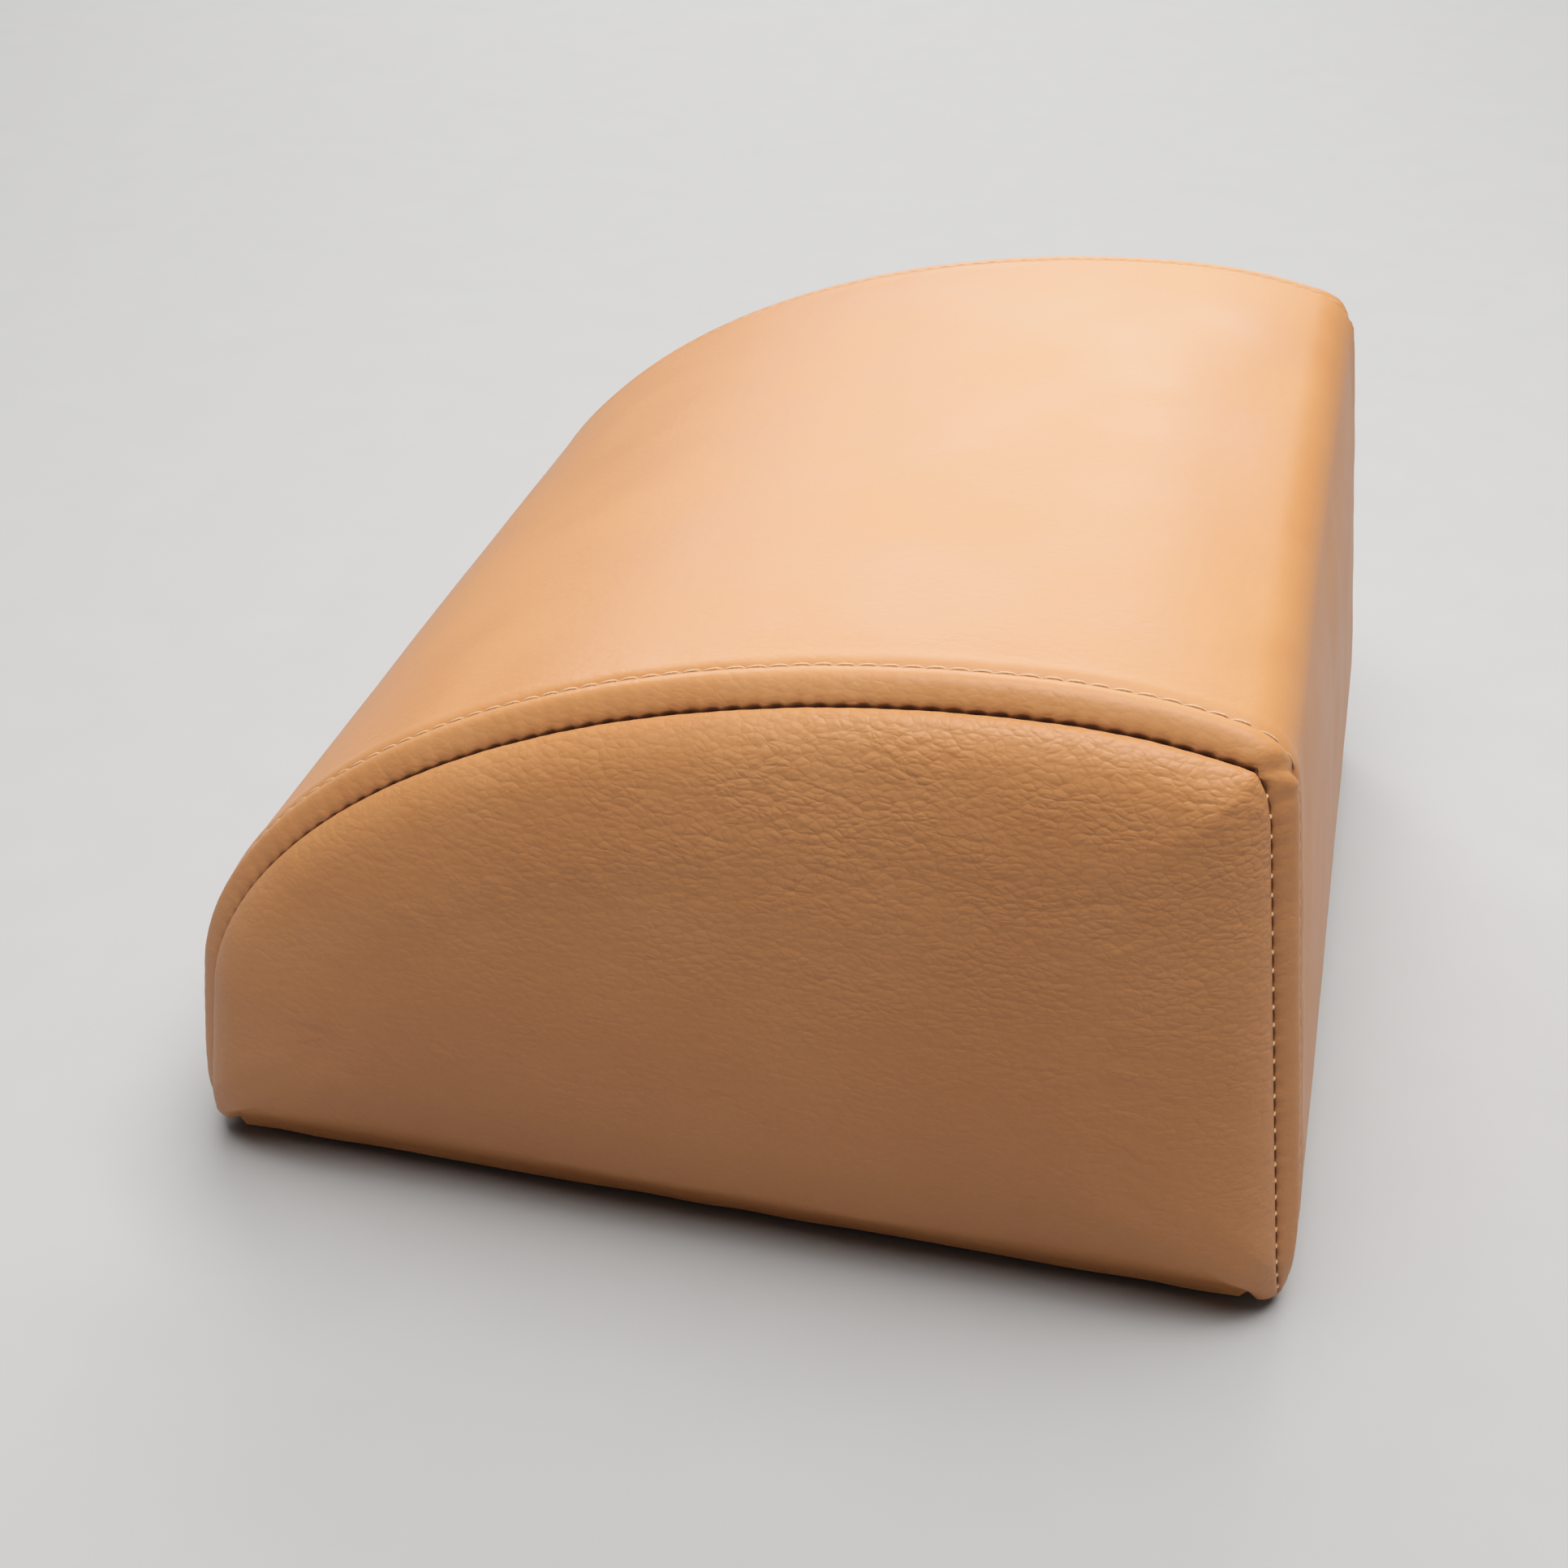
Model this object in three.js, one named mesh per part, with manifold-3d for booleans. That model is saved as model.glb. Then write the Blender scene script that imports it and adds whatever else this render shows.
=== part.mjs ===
// Face cradle cushion: a short wedge-shaped bolster for a massage couch, upholstered in leatherette.
// Millimetres, +Z up. X runs from the low nose (-X) to the tall side (+X), Y from the front end
// panel (-Y) to the rear one (+Y). The origin is on the surface it rests on, under its middle.
//
// From the bottom up: two loop strips, a dust cover, the turned-under hems of the cover, the plywood
// base board with its staples, a firm foam core, a comfort layer bent over it, a fibre wadding wrap,
// a wadding pad at each end, and the cover: one long wrap sewn to two end panels.

import * as THREE from 'three';
import { mergeVertices } from 'three/addons/utils/BufferGeometryUtils.js';
import Module from 'manifold-3d';

const wasm = await Module();
wasm.setup();

// ---- overall form, measured on the seam lines of the cover ----
const baseWidth = 240; // foot of the nose wall to foot of the tall wall
const seamSpan = 240; // front seam to rear seam
const seamHeight = 134.7; // highest point of the seams above the underside of the cover
const crownSetback = 56; // the highest point's distance from the foot of the tall wall
const noseHeight = 43; // straight part of the nose wall
const noseLean = THREE.MathUtils.degToRad(8.4); // the nose wall leans in
const tallLean = THREE.MathUtils.degToRad(7); // the tall wall leans in
const nosePull = 0.45; // how far the slope follows the nose wall, as a share of its rise
const slopePull = 0.585; // how far it runs level before the crown, as a share of its run
const shoulderSetback = 23.5; // where the crown starts to fall, from the foot of the tall wall
const shoulderDrop = 3.7; // its height below the crown
const shoulderFall = THREE.MathUtils.degToRad(13.7); // its slope
const shoulderPull = 0.35; // how softly the crown turns into it, as a share of their distance
const cornerRadius = 9.4; // between the crown and the tall wall

// ---- the cover ----
const leather = 1.2; // leatherette on its backing
const bulge = 4.7; // how far the wrap stands out beyond its seams
const bulgeRoll = 4.6; // how soon it reaches that, measured from the seam
const swellRise = 12; // how soon it reaches that, measured up from the board
const domeDepth = 12; // how far an end panel stands out beyond its seam
const domeWidth = 27; // width of the rounding around its edge
const domeFoot = 28; // height over which its foot comes forward
const hemWidth = 22; // turned under the board and stapled
const topstitchInset = 6.3; // from the seam
const threadRadius = 0.35;
const threadLift = 1; // centre of the seam thread above the seam line

// ---- filling and base ----
const wadding = 3; // fibre wadding over the foam
const comfortLayer = 18; // soft foam
const boardThickness = 9; // plywood
const boardCorner = 6;
const endSetback = 3; // foam and board stop short of the seams
const gap = 0.3; // between pieces that touch

// ---- underside ----
const dustThickness = 0.4;
const dustInset = 8; // from the edge of the cover
const dustCorner = 4;
const stripThickness = 1.5;
const stripWidth = 25;
const stripSetback = 30; // from the seams to the ends of a strip
const stripEdge = 60; // from the foot of a side wall to the middle line of its strip
const stapleWidth = 10;
const stapleLeg = 6;
const wireWidth = 0.9;
const wireThickness = 0.6;
const stapleSink = 0.1; // crowns of the cover staples sit this far inside the leatherette
const hemStapleInset = 17; // from the edge of the cover
const dustStapleInset = 5; // from the edge of the dust cover
const hemStaplesPerSide = 5;
const hemStaplesPerEnd = 4;
const dustStaplesPerSide = 4;

// ---- heights ----
const dustUnder = stripThickness + gap;
const coverUnder = dustUnder + dustThickness + gap;
const lining = leather + gap; // inside of the cover
const boardUnder = lining; // above the underside of the cover
const foamUnder = boardUnder + boardThickness + gap;

// ---- depths under the cover ----
const waddingInset = lining;
const comfortInset = waddingInset + wadding + gap;
const coreInset = comfortInset + comfortLayer + gap;
const fillSpan = seamSpan - 2 * endSetback;

// A side wall's X at a height above the cover's underside, drawn in by inset. side is -1 at the nose.
function wallX(side, inset, height) {
  const lean = side < 0 ? noseLean : tallLean;
  return side * (baseWidth / 2 - inset / Math.cos(lean) - height * Math.tan(lean));
}

// Corner of radius r between two lines, each given by a point on it and its outward normal.
function filletCentre(p, n, q, m, r) {
  const a = n.dot(p) - r;
  const b = m.dot(q) - r;
  const det = n.x * m.y - n.y * m.x;
  return new THREE.Vector2((a * m.y - b * n.y) / det, (b * n.x - a * m.x) / det);
}

// The cushion's cross-section, drawn in by inset and standing on foot: X across, Y up.
// It always has the same number of points, from the foot of the nose wall to that of the tall wall.
function outline(inset, foot) {
  const noseDir = new THREE.Vector2(Math.sin(noseLean), Math.cos(noseLean));
  const noseTop = new THREE.Vector2(wallX(-1, inset, noseHeight), noseHeight);
  const crown = new THREE.Vector2(baseWidth / 2 - crownSetback, seamHeight - inset);
  const noseHandle = noseDir.clone().multiplyScalar(nosePull * (crown.y - noseTop.y)).add(noseTop);
  const crownHandle = crown.clone();
  crownHandle.x -= slopePull * (crown.x - noseTop.x);

  const shoulderNormal = new THREE.Vector2(Math.sin(shoulderFall), Math.cos(shoulderFall));
  const tallNormal = new THREE.Vector2(Math.cos(tallLean), Math.sin(tallLean));
  const shoulder = new THREE.Vector2(baseWidth / 2 - shoulderSetback, seamHeight - shoulderDrop);
  shoulder.addScaledVector(shoulderNormal, -inset);
  const tallFoot = new THREE.Vector2(wallX(1, inset, foot), foot);
  const radius = Math.max(cornerRadius - inset, cornerRadius / 3);
  const centre = filletCentre(shoulder, shoulderNormal, tallFoot, tallNormal, radius);
  const cornerStart = centre.clone().addScaledVector(shoulderNormal, radius);
  const cornerEnd = centre.clone().addScaledVector(tallNormal, radius);
  const soften = shoulderPull * crown.distanceTo(cornerStart);
  const fallDir = new THREE.Vector2(Math.cos(shoulderFall), -Math.sin(shoulderFall));
  const fallHandle = cornerStart.clone().addScaledVector(fallDir, -soften);

  const slope = new THREE.CubicBezierCurve(noseTop, noseHandle, crownHandle, crown);
  const top = new THREE.CubicBezierCurve(
    crown, new THREE.Vector2(crown.x + soften, crown.y), fallHandle, cornerStart);
  const startAngle = shoulderNormal.angle();
  const endAngle = tallNormal.angle();
  const corner = new THREE.EllipseCurve(
    centre.x, centre.y, radius, radius, startAngle, endAngle, true, 0);
  const noseFoot = new THREE.Vector2(wallX(-1, inset, foot), foot);
  const wallSteps = [0, 0.1, 0.25, 0.5];
  return [
    ...wallSteps.map((t) => noseFoot.clone().lerp(noseTop, t)),
    ...slope.getPoints(16).slice(0, -1),
    ...top.getPoints(4).slice(0, -1),
    ...corner.getPoints(5),
    ...[0.45, 0.7, 0.84, 0.94, 1].map((t) => cornerEnd.clone().lerp(tallFoot, t)),
  ];
}

// Moves the points of an outline outward, by nothing at the foot and by the full amount higher up.
function swell(points, amount) {
  return points.map((p, i) => {
    const before = points[Math.max(i - 1, 0)];
    const after = points[Math.min(i + 1, points.length - 1)];
    const along = after.clone().sub(before).normalize();
    const rise = 1 - Math.exp(-Math.max(p.y, 0) / swellRise);
    return new THREE.Vector2(p.x - along.y * amount * rise, p.y + along.x * amount * rise);
  });
}

// How far the wrap stands out at a distance s from its seam.
function bulgeAt(s) {
  return bulge * (1 - Math.exp(-Math.max(s, 0) / bulgeRoll));
}

// Closed body through rings of equal point counts, each { y, points }, in order of rising y.
function loft(rings) {
  const count = rings[0].points.length;
  const positions = [];
  for (const { y, points } of rings) {
    for (const p of points) positions.push(p.x, y, p.y + coverUnder);
  }
  const index = [];
  for (let k = 0; k < rings.length - 1; k++) {
    for (let i = 0; i < count; i++) {
      const a = k * count + i;
      const b = k * count + ((i + 1) % count);
      index.push(a, b, b + count, a, b + count, a + count);
    }
  }
  const last = (rings.length - 1) * count;
  for (const [i, j, k] of THREE.ShapeUtils.triangulateShape(rings[0].points, [])) {
    index.push(i, j, k);
  }
  for (const [i, j, k] of THREE.ShapeUtils.triangulateShape(rings.at(-1).points, [])) {
    index.push(last + i, last + k, last + j);
  }
  const geometry = new THREE.BufferGeometry();
  geometry.setAttribute('position', new THREE.Float32BufferAttribute(positions, 3));
  geometry.setIndex(index);
  return geometry;
}

// Upright cross-section pulled along Y over a length, centred on the middle.
function pulled(points, length) {
  return loft([{ y: -length / 2, points }, { y: length / 2, points }]);
}

function solid(geometry) {
  const bare = geometry.clone();
  bare.deleteAttribute('normal');
  bare.deleteAttribute('uv');
  const merged = mergeVertices(bare);
  return new wasm.Manifold(new wasm.Mesh({
    numProp: 3,
    vertProperties: new Float32Array(merged.attributes.position.array),
    triVerts: new Uint32Array(merged.index.array),
  }));
}

function surface(body) {
  const mesh = body.getMesh();
  const geometry = new THREE.BufferGeometry();
  geometry.setAttribute('position', new THREE.Float32BufferAttribute(mesh.vertProperties, 3));
  geometry.setIndex([...mesh.triVerts]);
  return geometry;
}

function box(x, y, z, width, length, height) {
  const geometry = new THREE.BoxGeometry(width, length, height);
  geometry.translate(x, y, z + height / 2);
  return geometry;
}

// Flat plate with rounded corners between two X values, lying on z.
function plate(left, right, length, corner, z, thickness) {
  const y = length / 2;
  const shape = new THREE.Shape();
  shape.moveTo(left + corner, -y);
  shape.absarc(right - corner, corner - y, corner, -Math.PI / 2, 0);
  shape.absarc(right - corner, y - corner, corner, 0, Math.PI / 2);
  shape.absarc(left + corner, y - corner, corner, Math.PI / 2, Math.PI);
  shape.absarc(left + corner, corner - y, corner, Math.PI, 1.5 * Math.PI);
  const geometry = new THREE.ExtrudeGeometry(shape, {
    depth: thickness, bevelEnabled: false, curveSegments: 5,
  });
  geometry.translate(0, 0, z);
  return geometry;
}

// ---- materials ----
function finish(color, roughness, metalness = 0) {
  return new THREE.MeshStandardMaterial({ color, roughness, metalness });
}
const leatherette = finish(0xc48650, 0.5);
const thread = finish(0xe0b88c, 0.7);
const softFoam = finish(0xf0e2b8, 0.9);
const firmFoam = finish(0xbfc7cf, 0.9);
const fibre = finish(0xf5f5f2, 0.95);
const plywood = finish(0xd8b483, 0.7);
const cambric = finish(0x26262a, 0.9);
const loopPile = finish(0x1d1d20, 0.95);
const staplewire = finish(0xb9bcc0, 0.35, 1);

const cushion = new THREE.Group();
function add(name, geometry, material) {
  const mesh = new THREE.Mesh(geometry, material);
  mesh.name = name;
  cushion.add(mesh);
  return mesh;
}

// ---- staples: where they are, before what they pierce is made ----
function stapleGeometry(grow) {
  const half = stapleWidth / 2 + grow;
  const inner = stapleWidth / 2 - wireThickness - grow;
  const shape = new THREE.Shape();
  shape.moveTo(-half, -grow);
  shape.lineTo(half, -grow);
  shape.lineTo(half, stapleLeg + grow);
  shape.lineTo(inner, stapleLeg + grow);
  shape.lineTo(inner, wireThickness + grow);
  shape.lineTo(-inner, wireThickness + grow);
  shape.lineTo(-inner, stapleLeg + grow);
  shape.lineTo(-half, stapleLeg + grow);
  const width = wireWidth + 2 * grow;
  const geometry = new THREE.ExtrudeGeometry(shape, { depth: width, bevelEnabled: false });
  geometry.translate(0, 0, -width / 2);
  geometry.rotateX(Math.PI / 2);
  return geometry;
}

// Evenly spaced places along a row of a given length, half a step in from its ends.
function spaced(count, length) {
  return Array.from({ length: count }, (_, i) => length * ((i + 0.5) / count - 0.5));
}

// Staples around a rectangle, their crowns along its edges.
function stapleRing(x, y, z, perSide, perEnd) {
  const sideRow = 2 * y - stapleWidth;
  const endRow = 2 * x - stapleWidth;
  const places = [];
  for (const side of [-1, 1]) {
    for (const v of spaced(perSide, sideRow)) places.push({ x: side * x, y: v, z, turn: Math.PI / 2 });
    for (const u of spaced(perEnd, endRow)) places.push({ x: u, y: side * y, z, turn: 0 });
  }
  return places;
}

const hemStaples = stapleRing(
  baseWidth / 2 - hemStapleInset, seamSpan / 2 - hemStapleInset,
  coverUnder + stapleSink, hemStaplesPerSide, hemStaplesPerEnd);
const dustStaples = stapleRing(
  baseWidth / 2 - dustInset - dustStapleInset, seamSpan / 2 - dustInset - dustStapleInset,
  dustUnder - gap - wireThickness, dustStaplesPerSide, dustStaplesPerSide);

// Everything the staples pierce is cut clear of them.
const staplePockets = wasm.Manifold.union([...hemStaples, ...dustStaples].map((s) => {
  const pocket = stapleGeometry(gap);
  pocket.rotateZ(s.turn);
  pocket.translate(s.x, s.y, s.z);
  return solid(pocket);
}));
function pierced(geometry) {
  return surface(solid(geometry).subtract(staplePockets));
}

function addStaples(name, places) {
  const geometry = stapleGeometry(0);
  places.forEach((s, i) => {
    const mesh = add(`${name}_${String(i + 1).padStart(2, '0')}`, geometry, staplewire);
    mesh.position.set(s.x, s.y, s.z);
    mesh.rotation.z = s.turn;
  });
}

// ---- base board, foam and wadding ----
const boardTop = boardUnder + boardThickness;
const boardLeft = wallX(-1, comfortInset, boardTop);
const boardRight = wallX(1, comfortInset, boardTop);
const board = plate(
  boardLeft, boardRight, fillSpan, boardCorner, coverUnder + boardUnder, boardThickness);
add('base_board', pierced(board), plywood);

add('foam_core', pulled(outline(coreInset, foamUnder), fillSpan), firmFoam);

const comfortOuter = outline(comfortInset, foamUnder);
const comfortInner = outline(comfortInset + comfortLayer, foamUnder);
add('comfort_foam', pulled([...comfortOuter, ...comfortInner.reverse()], fillSpan), softFoam);

// Rings of the wrap's surface at a depth below it, from one end to the other.
function wrapRings(inset, foot, endGap) {
  const steps = [0, 2, 5, 9, 16, 28];
  const half = seamSpan / 2;
  const ring = (s, side) => ({
    y: side * (half - s),
    points: swell(outline(inset, foot), bulgeAt(s)),
  });
  const near = steps.map((s) => s + endGap);
  return [
    ...near.map((s) => ring(s, -1)),
    ...near.map((s) => ring(s, 1)).reverse(),
  ];
}

const waddingOuter = solid(loft(wrapRings(waddingInset, lining, endSetback)));
const waddingInner = solid(pulled(outline(waddingInset + wadding, -1), seamSpan));
add('wadding_wrap', surface(waddingOuter.subtract(waddingInner)), fibre);

// ---- the cover's wrap: nose wall, top and tall wall in one, turned under the board ----
const wrapInside = solid(loft([
  { y: -seamSpan / 2 - 1, points: outline(leather, leather) },
  ...wrapRings(leather, leather, gap / 2),
  { y: seamSpan / 2 + 1, points: outline(leather, leather) },
]));
const betweenHems = solid(box(
  0, 0, coverUnder - 1, baseWidth - 2 * hemWidth, seamSpan + 2, 2 + leather));
const wrap = solid(loft(wrapRings(0, 0, gap / 2))).subtract(wrapInside).subtract(betweenHems);
add('cover_wrap', surface(wrap.subtract(staplePockets)), leatherette);

// ---- end panels and end pads, front one first, the rear one mirrored ----
// Rings of an end panel's domed face at a depth below it, from its outermost to the seam.
function domeRings(depth, extra) {
  const rings = [];
  const steps = 6;
  for (let i = steps; i >= 0; i--) {
    const share = i / steps;
    const turn = share * (Math.PI / 2);
    const inset = depth + domeWidth * (1 - Math.cos(turn));
    rings.push({
      y: -(seamSpan + gap) / 2 - domeDepth * Math.sin(turn) + depth,
      points: outline(inset, depth + domeFoot * share),
    });
  }
  const seamRing = rings.at(-1);
  rings.push({ y: seamRing.y + extra, points: seamRing.points });
  return rings;
}

function mirrored(geometry) {
  const copy = geometry.clone();
  copy.scale(1, -1, 1);
  const index = copy.index.array;
  for (let i = 0; i < index.length; i += 3) [index[i], index[i + 1]] = [index[i + 1], index[i]];
  return copy;
}

const panelLip = 1; // straight start of a panel behind its seam ring, cut off flush with the seam
const panelFace = solid(loft(domeRings(0, panelLip)));
const panelInside = solid(loft(domeRings(leather, panelLip + 1)));
const behindSeam = solid(box(
  0, 0, coverUnder - 1, 2 * baseWidth, seamSpan + gap, 2 * seamHeight));
const panelHem = solid(box(
  0, -(seamSpan + gap + leather) / 2 + (hemWidth + leather) / 2, coverUnder,
  baseWidth - 2 * hemWidth - 2 * gap, hemWidth + leather, leather));
const frontPanel = surface(
  panelFace.subtract(panelInside).subtract(behindSeam).add(panelHem).subtract(staplePockets));
add('front_panel', frontPanel, leatherette);
add('rear_panel', mirrored(frontPanel), leatherette);

const padDepth = endSetback - gap - lining;
const frontPad = loft(domeRings(lining, padDepth));
add('front_end_pad', frontPad, fibre);
add('rear_end_pad', mirrored(frontPad), fibre);

// ---- threads ----
const sewnHeight = 6; // threads start and stop this far above the underside of the cover

function threadAlong(y, points) {
  const path = points
    .filter((p) => p.y > sewnHeight)
    .map((p) => new THREE.Vector3(p.x, y, p.y + coverUnder));
  const section = new THREE.Shape();
  section.absarc(0, 0, threadRadius, 0, 2 * Math.PI);
  return new THREE.ExtrudeGeometry(section, {
    steps: 70, curveSegments: 3, bevelEnabled: false,
    extrudePath: new THREE.CatmullRomCurve3(path),
  });
}

function lifted(inset, height) {
  return outline(inset - height, 0);
}

const stitchLift = gap + threadRadius;
for (const [end, side] of [['front', -1], ['rear', 1]]) {
  add(`${end}_seam_thread`, threadAlong(side * seamSpan / 2, lifted(0, threadLift)), thread);
  const stitched = swell(outline(-stitchLift, 0), bulgeAt(topstitchInset));
  add(`${end}_topstitch`, threadAlong(side * (seamSpan / 2 - topstitchInset), stitched), thread);
}

// ---- underside ----
const dustEdge = baseWidth / 2 - dustInset;
const dust = plate(
  -dustEdge, dustEdge, seamSpan - 2 * dustInset, dustCorner, dustUnder, dustThickness);
add('dust_cover', pierced(dust), cambric);
const stripLength = seamSpan - 2 * stripSetback;
for (const [name, side] of [['loop_strip_nose_side', -1], ['loop_strip_tall_side', 1]]) {
  const middle = side * (baseWidth / 2 - stripEdge);
  add(name, box(middle, 0, 0, stripWidth, stripLength, stripThickness), loopPile);
}
addStaples('cover_staple', hemStaples);
addStaples('dust_staple', dustStaples);

export default cushion;
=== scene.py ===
import math

import bpy
import numpy as np
from mathutils import Matrix, Vector
from mathutils.geometry import delaunay_2d_cdt


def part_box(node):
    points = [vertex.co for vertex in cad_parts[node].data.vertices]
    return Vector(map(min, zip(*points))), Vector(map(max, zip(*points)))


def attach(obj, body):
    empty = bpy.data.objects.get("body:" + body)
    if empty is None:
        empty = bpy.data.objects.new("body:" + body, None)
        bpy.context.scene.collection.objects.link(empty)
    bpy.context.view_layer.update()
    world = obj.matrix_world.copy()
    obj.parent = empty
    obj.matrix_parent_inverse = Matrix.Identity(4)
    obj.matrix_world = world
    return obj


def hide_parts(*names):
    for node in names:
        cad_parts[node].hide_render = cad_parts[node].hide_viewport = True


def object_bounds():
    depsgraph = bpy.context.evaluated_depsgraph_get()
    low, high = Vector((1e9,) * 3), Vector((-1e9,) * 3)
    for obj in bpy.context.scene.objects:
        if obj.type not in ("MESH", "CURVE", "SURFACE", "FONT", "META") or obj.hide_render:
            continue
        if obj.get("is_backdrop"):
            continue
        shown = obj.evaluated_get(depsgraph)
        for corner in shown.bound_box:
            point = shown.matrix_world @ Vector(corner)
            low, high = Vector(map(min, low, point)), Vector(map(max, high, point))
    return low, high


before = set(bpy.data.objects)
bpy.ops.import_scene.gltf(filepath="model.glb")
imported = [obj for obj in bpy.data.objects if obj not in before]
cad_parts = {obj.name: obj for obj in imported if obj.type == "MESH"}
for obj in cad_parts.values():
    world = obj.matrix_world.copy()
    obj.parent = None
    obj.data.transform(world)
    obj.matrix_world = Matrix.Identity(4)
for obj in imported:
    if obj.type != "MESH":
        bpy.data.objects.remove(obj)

# The upholstered face cradle cushion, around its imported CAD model. Metres, +Z up, the low nose at -X,
# the front end panel at -Y. The cover is one long wrap sewn to two end panels.

mm = 0.001
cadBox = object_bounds()
panelLow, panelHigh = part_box("front_panel")
wrapLow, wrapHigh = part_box("cover_wrap")
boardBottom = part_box("base_board")[0].z

under = panelLow.z  # underside of the cover
halfWidth = (panelHigh.x - panelLow.x) / 2  # middle to the foot of a side wall
seamSlit = 0.15 * mm  # half of the gap between the wrap and a panel
seamY = (wrapHigh.y - wrapLow.y) / 2 + seamSlit  # middle to a seam
seamHeight = panelHigh.z - panelLow.z


# Small helpers.

def report(text):
    print("cushion:", text)


def onlyThis(thing):
    bpy.ops.object.select_all(action="DESELECT")
    thing.select_set(True)
    bpy.context.view_layer.objects.active = thing


def newPiece(name, points, faces, uv=None, carried=None):
    mesh = bpy.data.meshes.new(name)
    mesh.from_pydata([tuple(p) for p in points], [], [tuple(int(i) for i in f) for f in faces])
    mesh.update()
    if uv is not None:
        layer = mesh.uv_layers.new(name="cloth")
        loops = np.zeros(len(mesh.loops), np.int32)
        mesh.loops.foreach_get("vertex_index", loops)
        layer.data.foreach_set("uv", np.asarray(uv, np.float32)[loops].ravel())
    for key, values in (carried or {}).items():
        layer = mesh.attributes.new(key, "FLOAT", "POINT")
        layer.data.foreach_set("value", np.asarray(values, np.float32).ravel())
    piece = bpy.data.objects.new(name, mesh)
    bpy.context.scene.collection.objects.link(piece)
    return piece


def readPoints(mesh):
    points = np.zeros(len(mesh.vertices) * 3)
    mesh.vertices.foreach_get("co", points)
    return points.reshape(-1, 3)


def writePoints(mesh, points):
    mesh.vertices.foreach_set("co", np.asarray(points, np.float32).ravel())
    mesh.update()


def smoothShade(piece, angle=None):
    onlyThis(piece)
    if angle is None:
        bpy.ops.object.shade_smooth()
    else:
        bpy.ops.object.shade_smooth_by_angle(angle=math.radians(angle))


def faceOutwards(piece, dropLoose=False):
    onlyThis(piece)
    bpy.ops.object.mode_set(mode="EDIT")
    bpy.ops.mesh.select_all(action="SELECT")
    if dropLoose:
        bpy.ops.mesh.delete_loose()
        bpy.ops.mesh.select_all(action="SELECT")
    bpy.ops.mesh.normals_make_consistent(inside=False)
    bpy.ops.object.mode_set(mode="OBJECT")


def paint(thing, material):
    thing.data.materials.clear()
    thing.data.materials.append(material)


def place(piece, slotName, material, node):
    paint(piece, material)
    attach(piece, "root")
    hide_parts(node)


def gridFaces(rows, columns):
    row, column = np.meshgrid(np.arange(rows - 1), np.arange(columns - 1), indexing="ij")
    a = (row * columns + column).ravel()
    return np.stack([a, a + 1, a + columns + 1, a + columns], 1)


def gauss(distance, width):
    return np.exp(-(distance / width) ** 2)


def smoothStep(low, high, value):
    t = np.clip((value - low) / (high - low), 0, 1)
    return t * t * (3 - 2 * t)


# Shader maths.

class Wire:
    # A socket's value that takes part in ordinary sums.
    def __init__(self, finish, socket):
        self.finish = finish
        self.socket = socket

    def maths(self, operation, first, second=0.0):
        made = self.finish.node("ShaderNodeMath", {"operation": operation}, {0: first, 1: second})
        return made["Value"]

    def __add__(self, other):
        return self.maths("ADD", self, other)

    __radd__ = __add__

    def __sub__(self, other):
        return self.maths("SUBTRACT", self, other)

    def __rsub__(self, other):
        return self.maths("SUBTRACT", other, self)

    def __mul__(self, other):
        return self.maths("MULTIPLY", self, other)

    __rmul__ = __mul__

    def sine(self):
        return self.maths("SINE", self)


class Outputs:
    def __init__(self, finish, made):
        self.finish = finish
        self.made = made

    def __getitem__(self, name):
        return Wire(self.finish, self.made.outputs[name])


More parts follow.
